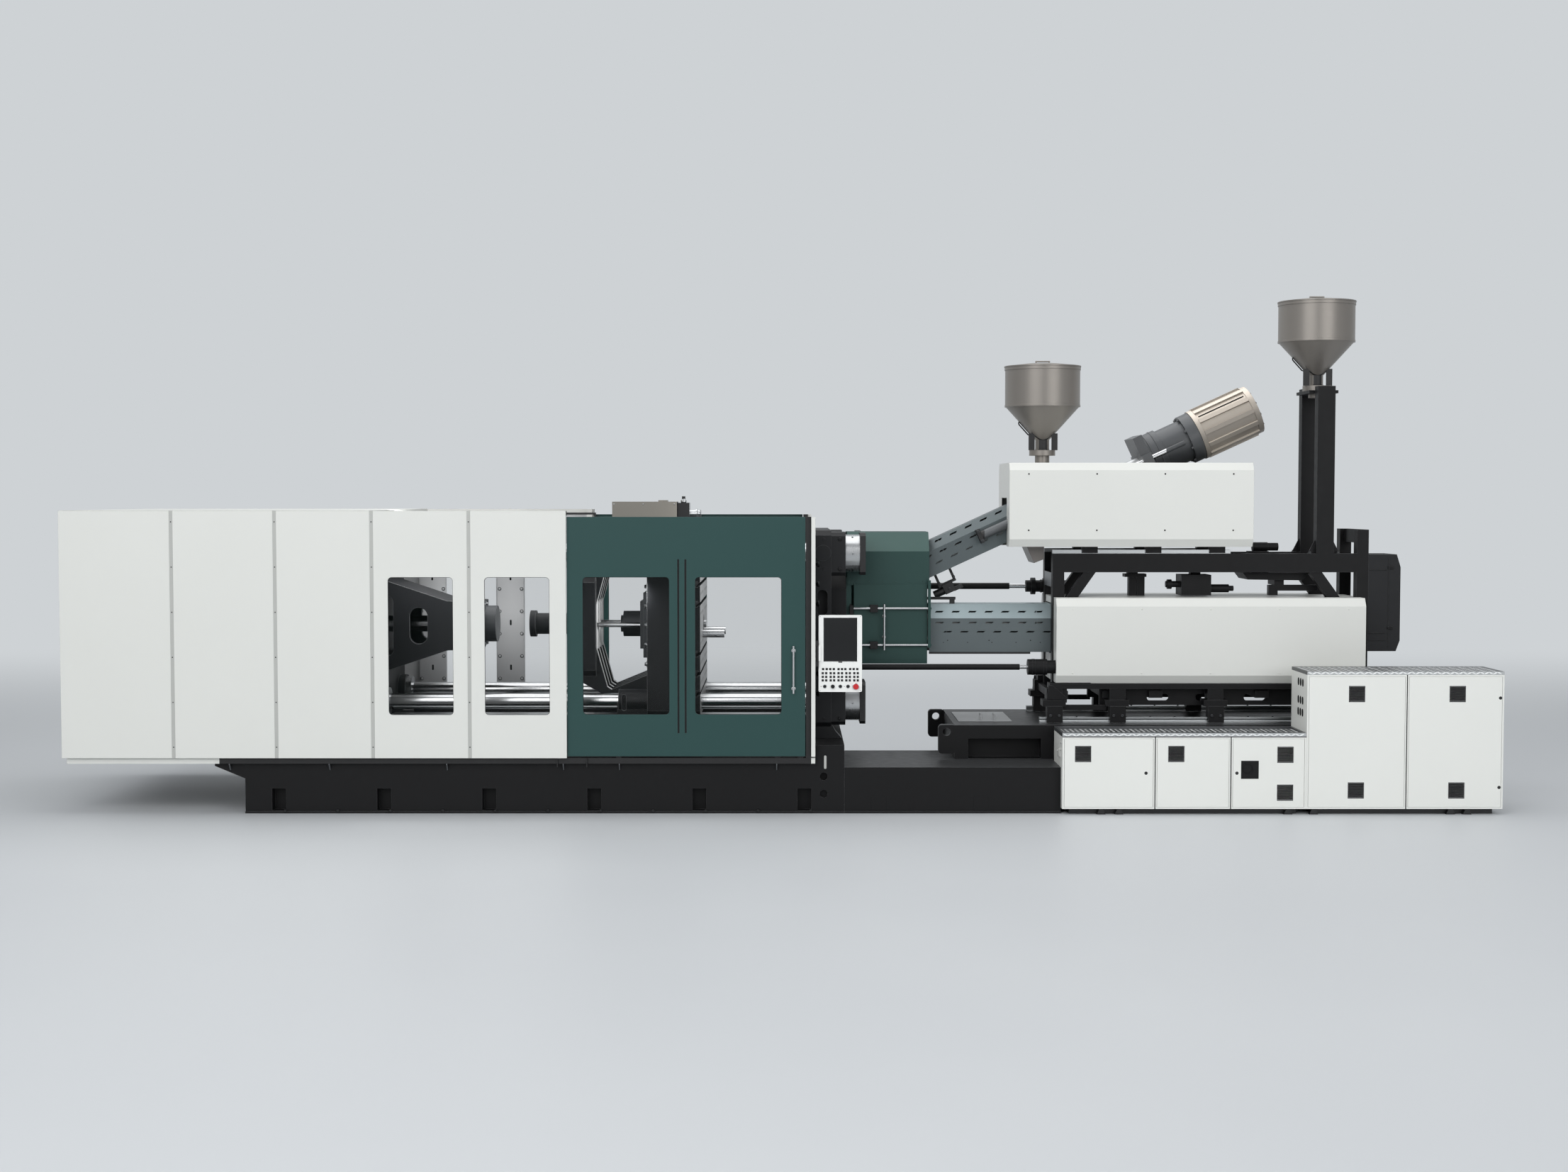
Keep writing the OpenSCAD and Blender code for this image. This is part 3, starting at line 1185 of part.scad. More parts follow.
module ejector_cylinder() {
    color("#3a3d40") difference() {
        union() {
            bx(mid_x - 30, mid_x - gap, -260, 260, axis_z - 352, axis_z + 352);
            bx(mid_x - 62, mid_x - 30 + eps, -230, 230, axis_z - 268, axis_z + 268);
            bx(mid_x - 90, mid_x - 62 + eps, -200, 200, axis_z - 196, axis_z + 196);
            rod_x(mid_x - 240, mid_x - 89, 0, axis_z, 107);
            rod_x(mid_x - 262, mid_x - 239, 0, axis_z, 70);
        }
        rod_x(mid_x - 225, mid_x + 1, 0, axis_z, piston_r + run);
    }
    color("#c8cbcc") both() rod_x(back_x1 - rib_d + gap, mid_x - 80, -165, axis_z, 20);
}

// Ejector plate, its piston rod and the rods through the mould wall
module ejector_rods() {
    x_plate = mid_x + 20;
    color("#c8cbcc") {
        rod_x(mid_x - 215, x_plate + 1, 0, axis_z, piston_r);
        bx(x_plate, x_plate + 36, -235, 235, axis_z - 140, axis_z + 110);
        rod_x(x_plate + 35, mp_x1 + 20, 0, axis_z, eject_r);
        both() rod_x(x_plate + 35, mp_x1 + 178, -eject_y, axis_z + eject_z, eject_r);
    }
}

module clamp_ram() {
    color("#c8cbcc") {
        rod_x(rear_x0 - 500, nose_x - 405, 0, axis_z, ram_rod_r);
        rod_x(rear_x0 - 500, rear_x0 - 380, 0, axis_z, clamp_cyl_d / 2 - 90 - gap);
    }
    color("#4a4d50") {
        cone_x(nose_x - 406, nose_x - 276, 0, axis_z, ram_rod_r, ram_head_d / 2);
        rod_x(nose_x - 277, ram_face_x, 0, axis_z, ram_head_d / 2);
    }
}

// Operator panel on its swivel arm
key_w = 17;
key_zs = [1138, 1106, 1077, 1050];
top_keys = [35, 63, 90, 118, 155, 182, 208, 246, 273, 301];
group_keys = [32, 59, 94, 121, 155, 182, 216, 243, 278, 305];
hmi_x0 = platen_x + 26;
hmi_w = 338;
hmi_z0 = 959;
hmi_h = 600;
hmi_y0 = -half_w + 26;
hmi_t = 84;
module hmi_housing() {
    color("#e4e4e0") difference() {
        union() {
            plate_xz(hmi_y0, hmi_y0 + 20) round_rect(hmi_x0, hmi_x0 + hmi_w, hmi_z0, hmi_z0 + hmi_h, 12);
            plate_xz(hmi_y0 + 19, hmi_y0 + hmi_t) round_rect(hmi_x0 + 46, hmi_x0 + hmi_w - 12, hmi_z0 + 12,
                hmi_z0 + hmi_h - 12, 10);
            bx(hinge_x, hmi_x0 + 16, hinge_y - hinge_r, hmi_y0 + 10, axis_z - 219, axis_z - 101);
            rod_z(hinge_x, hinge_y, axis_z - 259, axis_z - 61, hinge_r);
        }
        bx(hmi_x0 + 37, hmi_x0 + 301, hmi_y0 - 1, hmi_y0 + 6, 1196, 1540);
        for (x = [50, 171, 231]) rod_y(hmi_x0 + x - 2, hmi_y0 - 1, hmi_y0 + 16, 1002, 11 + gap);
        rod_y(hmi_x0 + 110, hmi_y0 - 1, hmi_y0 + 16, 1002, 9 + run);
        rod_y(hmi_x0 + 290, hmi_y0 - 1, hmi_y0 + 18, 1002, 12 + gap);
    }
    color("#202223") for (row = [0:3], x = row == 0 ? top_keys : group_keys)
        bx(hmi_x0 + x - key_w / 2, hmi_x0 + x + key_w / 2, hmi_y0 - 2, hmi_y0 + eps,
            key_zs[row] - key_w / 2, key_zs[row] + key_w / 2);
}

module hmi_screen() {
    color("#1c1e20") bx(hmi_x0 + 37 + gap, hmi_x0 + 301 - gap, hmi_y0 + 0.5, hmi_y0 + 6 - gap, 1196 + gap, 1540 - gap);
}

module e_stop() {
    color("#c81e26") {
        rod_y(hmi_x0 + 290, hmi_y0 - 10, hmi_y0 + 10, 1002, 12);
        rod_y(hmi_x0 + 290, hmi_y0 - 22, hmi_y0 - 8, 1002, 22);
    }
}

module push_button(x) {
    color("#202223") rod_y(hmi_x0 + x - 2, hmi_y0 - 6, hmi_y0 + 10, 1002, 11);
}
module button_left() { push_button(50); }
module button_middle() { push_button(171); }
module button_right() { push_button(231); }

module selector_knob() {
    color("#202223") {
        rod_y(hmi_x0 + 110, hmi_y0 - 8, hmi_y0 + 15, 1002, 9);
        rod_y(hmi_x0 + 110, hmi_y0 - 12, hmi_y0 - 4, 1002, 15);
        bx(hmi_x0 + 107, hmi_x0 + 113, hmi_y0 - 20, hmi_y0 - 11, 989, 1015);
    }
}

module low_door_left() {
    color("#e0e1dc") cab_door(low_doors[0], low_h - 32, [[0.222, 476]], [0.902, 326]);
}
module low_door_middle() {
    color("#e0e1dc") cab_door(low_doors[1], low_h - 32, [[0.277, 476]], [0.904, 326]);
}
module low_door_right() {
    color("#e0e1dc") difference() {
        cab_door(low_doors[2], low_h - 32, [[0.721, 470], [0.721, 173]], [0.08, 250]);
        bx(3576, 3714, -half_w - 1, -half_w + 10, 281, 423);
    }
}
module tall_door_left() {
    color("#e0e1dc") cab_door(tall_doors[0], tall_h - 26,
        [[0.498, 945], [0.498, 190]], [0.957, 560]);
}
module tall_door_right() {
    color("#e0e1dc") cab_door(tall_doors[1], tall_h - 26,
        [[0.52, 945], [0.52, 190]], [0.075, 560]);
}

module hopper_1() { hopper(hopper_1_x, hopper_1_z); }
module hopper_2() { hopper(hopper_2_x, hopper_2_z); }
module hopper_1_lid() { hopper_lid(hopper_1_x, hopper_1_z); }
module hopper_2_lid() { hopper_lid(hopper_2_x, hopper_2_z); }

clamp_base();
injection_base();
fixed_platen();
rear_platen();
clamp_cylinder();
tie_bars();
tie_bar_nuts();
guard_frame();
guard_panels();
guard_panes();
purge_guard();
carriage_rails();
carriage_base();
carriage_hatch();
carriage_cylinders();
low_cabinet();
tall_cabinet();
moving_platen();
platen_valve_unit();
ejector_cylinder();
ejector_rods();
clamp_ram();
front_door();
front_door_panes();
rear_door();
rear_door_panes();
purge_door();
carriage_frame();
mezzanine_frame();
main_cover();
main_barrel();
barrel_cover();
main_drive();
main_screw();
pull_rods();
electric_box();
hopper_2();
hopper_2_lid();
mezzanine_valves();
upper_sled();
upper_cover();
upper_barrel();
upper_barrel_cover();
hopper_1();
hopper_1_lid();
upper_gearbox();
upper_motor();
upper_screw();
hmi_housing();
hmi_screen();
e_stop();
selector_knob();
button_left();
button_middle();
button_right();
low_door_left();
low_door_middle();
low_door_right();
tall_door_left();
tall_door_right();
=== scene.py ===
"""Dresses the injection moulding machine and lights it for its portrait.

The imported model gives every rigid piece. This script gives each of them a finish worked out from shader nodes, and
adds the small pieces that ride on them: screws, bolts, gaskets, folded posts, tread marks, vents and sight bars.
"""

import logging
import math
from dataclasses import dataclass
from enum import Enum
from typing import Sequence

import bpy
import numpy as np
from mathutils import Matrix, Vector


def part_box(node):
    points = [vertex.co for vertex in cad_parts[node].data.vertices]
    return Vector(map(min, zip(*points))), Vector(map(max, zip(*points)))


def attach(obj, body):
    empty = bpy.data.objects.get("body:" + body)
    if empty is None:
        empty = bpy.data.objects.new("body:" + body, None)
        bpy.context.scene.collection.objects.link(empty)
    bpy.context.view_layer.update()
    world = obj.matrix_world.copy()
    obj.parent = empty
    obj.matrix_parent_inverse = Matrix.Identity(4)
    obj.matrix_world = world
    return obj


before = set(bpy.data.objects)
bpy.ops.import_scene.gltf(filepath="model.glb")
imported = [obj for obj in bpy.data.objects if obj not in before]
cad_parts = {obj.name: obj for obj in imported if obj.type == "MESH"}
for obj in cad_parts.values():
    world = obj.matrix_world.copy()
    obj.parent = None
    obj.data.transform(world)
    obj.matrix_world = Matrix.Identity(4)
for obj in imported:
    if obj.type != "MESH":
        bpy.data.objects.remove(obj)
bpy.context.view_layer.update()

log = logging.getLogger("machine")

Pair = tuple[float, float]
Point = tuple[float, float, float]
Rgb = tuple[int, int, int]
Mesh = tuple[np.ndarray, np.ndarray]
Sockets = dict[str, bpy.types.NodeSocket]

NUMBER, VECTOR, COLOUR = "NodeSocketFloat", "NodeSocketVector", "NodeSocketColor"
FAR = 9.0                # beyond the machine on every side
TILT_DEGREES = 24.7      # the inclined unit's slope
SLOPE_X = 0.032          # where the inclined axis meets the level one
AXIS_Z = 1.42            # the level axis's height
SMOOTH_DEGREES = 32.0    # where two faces meet at more, the edge stays sharp
HELPER = (0.0, 0.94, 0.34)         # a direction that no pipe runs along
WORN_AND_LIT_EDGE_COLOUR = (150, 152, 153)      # the metal under worn paint, also the colour of painted highlights on edges


class Skin(Enum):
    """How a surface is made, which picks the node group that draws it."""

    POWDER = "powder_coat"
    CASTING = "painted_casting"
    TURNED = "turned_metal"
    ROLLED = "rolled_sheet"
    MOULDED = "moulded_plastic"
    CLEAR = "clear_pane"


@dataclass(frozen=True)
class Grain:
    """One noise of a skin, and what it moves.

    Attributes:
        scale: How fine it is, as one number or one each along X, Y and Z.
        detail: The noise's detail.
        drift: Its share of the colour's drift.
        rough: How far it moves the roughness.
        height: Its share of the height.
        dust: Whether it counts only on faces that look up.
    """

    scale: float | Point
    detail: float
    drift: float = 0.0
    rough: float = 0.0
    height: float = 0.0
    dust: bool = False


GRAINS = {
    # orange peel of a few millimetres, slow clouds, dust that settles, and wiped places
    Skin.POWDER: (Grain(260.0, 2.0, height=0.25), Grain(0.9, 4.0, drift=1.0), Grain(6.0, 5.0, drift=0.35, dust=True),
                  Grain(14.0, 4.0, rough=0.16)),
    # sand and lumps under thick paint
    Skin.CASTING: (Grain(420.0, 4.0, rough=0.2, height=0.22), Grain(9.0, 3.0, height=1.0), Grain(3.0, 5.0, drift=1.0)),
    # lathe lines across the length, and a faint film of oil
    Skin.TURNED: (Grain((700.0, 4.0, 4.0), 2.0, rough=0.06, height=0.015), Grain(5.0, 4.0, drift=1.0, rough=0.12)),
    # long rolling streaks along the machine, and slow dents
    Skin.ROLLED: (Grain((3.0, 160.0, 160.0), 3.0, drift=0.5, rough=0.22, height=0.08),
                  Grain(4.0, 2.0, drift=0.5, height=0.5)),
    # a spark-eroded texture of a third of a millimetre
    Skin.MOULDED: (Grain(2600.0, 3.0, rough=0.2, height=0.08), Grain(12.0, 3.0, drift=1.0)),
    # a nearly flat sheet with faint smears
    Skin.CLEAR: (Grain((4.0, 4.0, 11.0), 4.0, drift=1.0, rough=0.05), Grain(1.5, 1.0, height=0.3)),
}


@dataclass(frozen=True)
class Finish:
    """One finish of the machine.

    Attributes:
        name: The finish in plain words.
        colour: Its colour as it is seen, in 0 to 255.
        skin: How the surface is made.
        roughness: The shader's roughness at the middle of its spread.
        metallic: 1 for bare metal, 0 for paint and plastic.
        coat: The weight of the clear coat.
        drift: How far the colour wanders over the surface.
        alpha: 1 for an opaque surface.
        edge_wear_and_highlight: How far edges go towards the colour of what lies under the paint, as worn paint and as
            a painted highlight along them.
        gloss: The shader's specular level.
        lift: How much lighter a face that looks straight up is painted, a painted light on top faces.
        rim: The radius, in metres, of the edges that carry worn paint and painted highlights and catch light; 0 leaves
            them as they are.
    """

    name: str
    colour: Rgb
    skin: Skin
    roughness: float
    metallic: float = 0.0
    coat: float = 0.0
    drift: float = 0.05
    alpha: float = 1.0
    edge_wear_and_highlight: float = 0.0
    gloss: float = 0.5
    lift: float = 0.0
    rim: float = 0.003


@dataclass(frozen=True)
class Patch:
    """A box of the model, in metres, where another finish shows.

    Attributes:
        lower: The box's lowest corner.
        upper: The box's highest corner.
        finish: What shows inside it.
    """

    lower: Point
    upper: Point
    finish: Finish
    mask = "inside_box"

    def values(self) -> dict[str, object]:
        """Gives the mask's inputs, the box's middle and half size."""
        low, high = np.asarray(self.lower), np.asarray(self.upper)
        return {"Middle": tuple((low + high) / 2), "Half": tuple((high - low) / 2)}


@dataclass(frozen=True)
class Dots:
    """A row of round spots, in metres, where another finish shows.

    Attributes:
        middle: The place of the row's first spot.
        step: From one spot to the next.
        count: How many spots the row has.
        radius: The spots' radius.
        finish: What shows on them.
    """

    middle: Point
    step: Point
    count: int
    radius: float
    finish: Finish
    mask = "row_of_spots"

    def values(self) -> dict[str, object]:
        """Gives the mask's inputs."""
        return {"Middle": self.middle, "Step": self.step, "Last": self.count - 1.0, "Radius": self.radius}


Patches = Sequence[Patch | Dots]


def slab(z0: float, z1: float, finish: Finish) -> Patch:
    """Gives the patch between two heights, right across the machine."""
    return Patch((-FAR, -FAR, z0), (FAR, FAR, z1), finish)


def slice_x(x0: float, x1: float, finish: Finish) -> Patch:
    """Gives the patch between two places along X, right across the machine."""
    return Patch((x0, -FAR, -FAR), (x1, FAR, FAR), finish)


# Paint
WHITE = Finish("white_powder", (226, 227, 222), Skin.POWDER, 0.42, coat=0.1, drift=0.02)
CABINET = Finish("cabinet_powder", (234, 235, 230), Skin.POWDER, 0.45, coat=0.08, drift=0.02)
GREEN = Finish("green_powder", (38, 71, 69), Skin.POWDER, 0.42, drift=0.04, edge_wear_and_highlight=0.3, gloss=0.35)
PURGE_GREEN = Finish("purge_green_powder", (36, 66, 62), Skin.POWDER, 0.45, drift=0.05, gloss=0.35)
# a lit copy of the purge guard's green: painted light on its top bevel and on the hood's rivets
PURGE_LIT_GREEN = Finish("purge_green_painted_lit", (54, 83, 78), Skin.POWDER, 0.42, coat=0.1, drift=0.05)
BLACK = Finish("black_powder", (22, 22, 23), Skin.POWDER, 0.5, drift=0.08, edge_wear_and_highlight=0.45, gloss=0.2)
BLANK = Finish("blank_plate", (22, 22, 23), Skin.POWDER, 0.5, drift=0.08, gloss=0.2)
ELECTRIC = Finish("electric_box", (31, 32, 34), Skin.POWDER, 0.5, edge_wear_and_highlight=0.4, gloss=0.25)
DARK_STEEL = Finish("dark_cylinder", (44, 46, 48), Skin.POWDER, 0.4, edge_wear_and_highlight=0.45, gloss=0.35)
BEIGE = Finish("valve_box", (136, 132, 124), Skin.POWDER, 0.45, metallic=0.2)
CHUTE = Finish("chute_paint", (110, 105, 101), Skin.POWDER, 0.45, drift=0.04)
DECK = Finish("hatch_paint", (158, 160, 161), Skin.POWDER, 0.5, coat=0.03, drift=0.08)
DECK_TOP = Finish("deck_paint", (56, 57, 58), Skin.POWDER, 0.45, drift=0.1, edge_wear_and_highlight=0.4, gloss=0.35)
# Castings
CAST_BLACK = Finish("black_casting", (26, 27, 29), Skin.CASTING, 0.5, drift=0.12, edge_wear_and_highlight=0.5, gloss=0.28)
# its edges are painted strongly pale, a painted highlight along the ribs as well as worn paint
PLATEN = Finish("ribbed_casting", (26, 27, 29), Skin.CASTING, 0.5, drift=0.1, edge_wear_and_highlight=0.9, gloss=0.28, rim=0.007)
# the gearbox's top faces are painted lighter, a painted light
GEARBOX = Finish("gearbox_paint", (64, 66, 68), Skin.CASTING, 0.42, coat=0.1, drift=0.08, edge_wear_and_highlight=0.5, lift=0.8)
# Bare metal
CHROME = Finish("hard_chrome", (208, 209, 210), Skin.TURNED, 0.2, metallic=1.0, drift=0.02, rim=0.0)
TURNED = Finish("turned_steel", (186, 188, 189), Skin.TURNED, 0.28, metallic=1.0, rim=0.0)
MID_GREY = Finish("cylinder_grey", (96, 98, 100), Skin.TURNED, 0.4, metallic=0.5, drift=0.06)
RAIL = Finish("ground_rail", (178, 181, 182), Skin.ROLLED, 0.3, metallic=1.0, drift=0.04)
# painted highlight: pale paint on the lit faces of the moving platen's ribs
RIB_HIGHLIGHT = Finish("painted_rib_highlights", (236, 237, 237), Skin.ROLLED, 0.5, drift=0.04)
MOULD_FACE = Finish("ground_face", (172, 173, 173), Skin.ROLLED, 0.42, metallic=0.3, drift=0.08)
RIB_GREY = Finish("milled_edge", (128, 131, 134), Skin.ROLLED, 0.42, metallic=0.7, drift=0.06)
# Sheet
STRIP_GREY = Finish("grey_strip", (186, 187, 183), Skin.ROLLED, 0.5, metallic=0.1)
INNER_GREY = Finish("inner_sheet", (196, 197, 198), Skin.ROLLED, 0.5, metallic=0.1, drift=0.06)
# the barrel covers' upward faces are painted lighter, a painted light; strongly on the main one
BARREL_GREY = Finish("barrel_cover_grey", (94, 103, 105), Skin.ROLLED, 0.42, metallic=0.3, drift=0.06, lift=3.6)
UPPER_GREY = Finish("upper_cover_grey", (84, 93, 95), Skin.ROLLED, 0.42, metallic=0.3, drift=0.06, lift=0.1)
BAND = Finish("heater_band", (138, 139, 138), Skin.ROLLED, 0.36, metallic=0.9, drift=0.1)
HOPPER = Finish("hopper_sheet", (139, 134, 128), Skin.ROLLED, 0.38, metallic=0.55)
# the motor's top faces are painted lighter, a painted light
MOTOR = Finish("motor_metal", (138, 131, 122), Skin.ROLLED, 0.4, metallic=0.3, lift=2.4)
GUSSET = Finish("zinc_gusset", (120, 123, 126), Skin.ROLLED, 0.4, metallic=0.8, drift=0.08)
CHECKER = Finish("checker_plate", (88, 90, 92), Skin.ROLLED, 0.42, metallic=0.6, drift=0.1)
TREAD_EDGE = Finish("checker_edge", (178, 181, 182), Skin.ROLLED, 0.36, metallic=0.2, drift=0.1)
TREAD = Finish("tread_marks", (236, 238, 238), Skin.ROLLED, 0.34, metallic=0.3, drift=0.06)
# Plastic, rubber and glass
PLASTIC = Finish("panel_plastic", (243, 244, 241), Skin.MOULDED, 0.45, drift=0.02)
KEY_BLACK = Finish("key_plastic", (26, 27, 28), Skin.MOULDED, 0.42, drift=0.04, gloss=0.3)
SCREEN = Finish("screen_glass", (14, 15, 17), Skin.MOULDED, 0.14, coat=0.3, drift=0.03, gloss=0.35)
RED = Finish("stop_red", (200, 30, 36), Skin.MOULDED, 0.3, coat=0.3, drift=0.03)
VENT = Finish("vent_grey", (68, 68, 69), Skin.MOULDED, 0.6, gloss=0.25)
# painted highlight: the pale line on the vents' lower lip
VENT_LIP_HIGHLIGHT = Finish("vent_lip_painted_highlight", (104, 104, 105), Skin.MOULDED, 0.5, drift=0.03)
SHADOW = Finish("dark_recess", (22, 22, 23), Skin.MOULDED, 0.6, gloss=0.2)
PANE = Finish("clear_pane", (46, 56, 54), Skin.CLEAR, 0.075, alpha=0.035, drift=0.02)


def linear(colour: Rgb) -> tuple[float, float, float, float]:
    """Turns a seen colour into the shader's linear one.

    Args:
        colour: Red, green and blue in 0 to 255.

    Returns:
        The linear colour with an alpha of 1.
    """
    c = np.asarray(colour, float) / 255
    low, high = c / 12.92, ((c + 0.055) / 1.055) ** 2.4
    r, g, b = np.where(c <= 0.04045, low, high)
    return float(r), float(g), float(b), 1.0


class Wiring:
    """Adds nodes to a tree and joins them."""

    def __init__(self, tree: bpy.types.NodeTree) -> None:
        """Starts on a tree, which it empties."""
        self.tree = tree
        tree.nodes.clear()

    def add(self, kind: str, settings: dict | None = None, *values: object, **inputs: object) -> bpy.types.Node:
        """Adds one node.

        Args:
            kind: The node's type name.
            settings: The node's own properties.
            *values: What the first inputs get, in their order.
            **inputs: What other inputs get, by name with _ for a space.

        Returns:
            The new node.
        """
        node = self.tree.nodes.new(kind)
        for key, value in (settings or {}).items():
            setattr(node, key, value)
        for place, value in enumerate(values):
            self.feed(node, place, value)
        for key, value in inputs.items():
            self.feed(node, key.replace("_", " "), value)
        return node

    def feed(self, node: bpy.types.Node, place: str | int, value: object) -> None:
        """Joins a socket to an input, or sets the input.

        Args:
            node: The node that has the input.
            place: The input's name or number.
            value: An output socket, or a plain value.
        """
        if isinstance(value, bpy.types.NodeSocket):
            self.tree.links.new(value, node.inputs[place])
        else:
            node.inputs[place].default_value = value

    def maths(self, operation: str, a: object, b: object = 0.0) -> bpy.types.NodeSocket:
        """Adds a Math node and gives its value."""
        return self.add("ShaderNodeMath", {"operation": operation}, a, b).outputs[0]

    def vector(self, operation: str, a: object, b: object = (0.0, 0.0, 0.0)) -> bpy.types.NodeSocket:
        """Adds a Vector Math node and gives its vector."""
        return self.add("ShaderNodeVectorMath", {"operation": operation}, a, b).outputs[0]

    def measure(self, operation: str, a: object, b: object = (0.0, 0.0, 0.0)) -> bpy.types.NodeSocket:
        """Adds a Vector Math node and gives its number, such as a length."""
        return self.add("ShaderNodeVectorMath", {"operation": operation}, a, b).outputs["Value"]

    def scaled(self, vector: object, factor: object) -> bpy.types.NodeSocket:
        """Multiplies a vector or a colour by a number."""
        return self.add("ShaderNodeVectorMath", {"operation": "SCALE"}, vector, Scale=factor).outputs[0]

    def shading_up(self) -> bpy.types.NodeSocket:
        """Gives how far the surface looks up, from -1 to 1."""
        return self.add("ShaderNodeSeparateXYZ", None, self.add("ShaderNodeNewGeometry").outputs["Normal"]).outputs[2]

    def noise(self, where: object, scale: float | Point, detail: float) -> bpy.types.NodeSocket:
        """Adds a Noise Texture.

        Args:
            where: The place that it reads.
            scale: Its fineness, as one number or one each along X, Y and Z.
            detail: Its detail.

        Returns:
            Its factor, from 0 to 1.
        """
        if isinstance(scale, tuple):
            where, scale = self.vector("MULTIPLY", where, scale), 1.0
        return self.add("ShaderNodeTexNoise", None, Vector=where, Scale=scale, Detail=detail).outputs[0]

    def blend(self, factor: object, a: object, b: object, colours: bool = True) -> bpy.types.NodeSocket:
        """Mixes two colours or two numbers by a factor.

        Args:
            factor: 0 gives a, 1 gives b.
            a: The first colour or number.
            b: The second colour or number.
            colours: True for colours, False for numbers.

        Returns:
            The mixed colour or number.
        """
        first, result = (6, 2) if colours else (2, 0)
        node = self.add("ShaderNodeMix", {"data_type": "RGBA" if colours else "FLOAT"}, factor)
        self.feed(node, first, a)
        self.feed(node, first + 1, b)
        return node.outputs[result]


class Groups:
    """Makes the shared node groups, each the first time that it is asked for."""

    SKIN_SOCKETS = ({"Colour": COLOUR, "Roughness": NUMBER, "Drift": NUMBER},
                    {"Colour": COLOUR, "Roughness": NUMBER, "Height": NUMBER})
    SOCKETS = {
        "inside_box": ({"Middle": VECTOR, "Half": VECTOR}, {"Inside": NUMBER}),
        "row_of_spots": ({"Middle": VECTOR, "Step": VECTOR, "Last": NUMBER, "Radius": NUMBER}, {"Inside": NUMBER}),
        "worn_and_lit_edge": ({"Radius": NUMBER}, {"Edge": NUMBER, "Normal": VECTOR}),
    }

    LOOKS_UP = 0.8         # dust lies where the normal's Z is above this
    EDGE_GAIN = 5.0        # how fast an edge wears with its turn
    CHIP_SCALE = 30.0      # the noise that breaks a worn edge up, its detail, and what is added to it
    CHIP_DETAIL = 4.0
    CHIP_LEAST = 0.2

    def __init__(self) -> None:
        """Starts with no group made."""
        self.made: dict[str, bpy.types.NodeTree] = {}

    def group(self, name: str) -> bpy.types.NodeTree:
        """Gives a group by its name.

        Args:
            name: The value of a Skin, or the name of the method that draws the group.

        Returns:
            The group, made once.
        """
        if name not in self.made:
            tree = self.made[name] = bpy.data.node_groups.new(name, "ShaderNodeTree")
            for side, sockets in zip(("INPUT", "OUTPUT"), self.SOCKETS.get(name, self.SKIN_SOCKETS)):
                for label, kind in sockets.items():
                    tree.interface.new_socket(label, in_out=side, socket_type=kind)
            w = Wiring(tree)
            given = w.add("NodeGroupInput").outputs
            where = w.add("ShaderNodeTexCoord").outputs["Object"]
            if name in self.SOCKETS:
                drawn = getattr(self, name)(w, given, where)
            else:
                drawn = self.skin(w, given, where, GRAINS[Skin(name)])
            w.add("NodeGroupOutput", **drawn)
        return self.made[name]

    def skin(self, w: Wiring, given: Sockets, where: object, grains: Sequence[Grain]) -> Sockets:
        """Draws a skin.

        The drift, the roughness and the height are sums of the noises times their shares, and the roughness counts
        each noise from its middle, 0.5. The colour is the given one times a gain. The gain is 1 plus twice the given
        drift times what the drift is over 0.5.

        Args:
            w: The group's wiring.
            given: The group's inputs.
            where: The place on the piece.
            grains: The skin's noises.

        Returns:
            The group's outputs.
        """
        sums: dict[str, object] = {"drift": 0.0, "rough": -sum(grain.rough for grain in grains) / 2, "height": 0.0}
        for grain in grains:
            noise = w.noise(where, grain.scale, grain.detail)
            if grain.dust:
                noise = w.maths("MULTIPLY", w.maths("GREATER_THAN", w.shading_up(), self.LOOKS_UP), noise)
            for key in sums:
                if getattr(grain, key) > 0:
                    sums[key] = w.maths("ADD", sums[key], w.maths("MULTIPLY", noise, getattr(grain, key)))
        swing = w.maths("MULTIPLY", w.maths("SUBTRACT", sums["drift"], 0.5), given["Drift"])
        colour = w.scaled(given["Colour"], w.maths("ADD", w.maths("MULTIPLY", swing, 2.0), 1.0))
        rough = w.maths("ADD", given["Roughness"], sums["rough"])
        return {"Colour": colour, "Roughness": rough, "Height": sums["height"]}

    def inside_box(self, w: Wiring, given: Sockets, where: object) -> Sockets:
        """Draws the mask that is 1 inside a box and 0 outside.

        It takes the place's distance from the box's middle, less the half size, and tests that the largest of the
        three numbers is below 0.

        Args:
            w: The group's wiring.
            given: The group's inputs.
            where: The place on the piece.

        Returns:
            The group's outputs.
        """
        away = w.vector("ABSOLUTE", w.vector("SUBTRACT", where, given["Middle"]))
        past = w.add("ShaderNodeSeparateXYZ", None, w.vector("SUBTRACT", away, given["Half"])).outputs
        most = w.maths("MAXIMUM", w.maths("MAXIMUM", past[0], past[1]), past[2])
        return {"Inside": w.maths("LESS_THAN", most, 0.0)}

    def row_of_spots(self, w: Wiring, given: Sockets, where: object) -> Sockets:
        """Draws the mask that is 1 on a row of spots and 0 beside them.

        The place's distance from the first spot, divided by the step's length along the row and rounded, tells the
        nearest spot. What is left after that many steps is compared with the radius.

        Args:
            w: The group's wiring.
            given: The group's inputs.
            where: The place on the piece.

        Returns:
            The group's outputs.
        """
        away = w.vector("SUBTRACT", where, given["Middle"])
        share = w.maths("DIVIDE", w.measure("DOT_PRODUCT", away, given["Step"]),
                        w.measure("DOT_PRODUCT", given["Step"], given["Step"]))
        nearest = w.maths("MAXIMUM", w.maths("MINIMUM", w.maths("ROUND", share), given["Last"]), 0.0)
        rest = w.measure("LENGTH", w.vector("SUBTRACT", away, w.scaled(given["Step"], nearest)))
        return {"Inside": w.maths("LESS_THAN", rest, given["Radius"])}

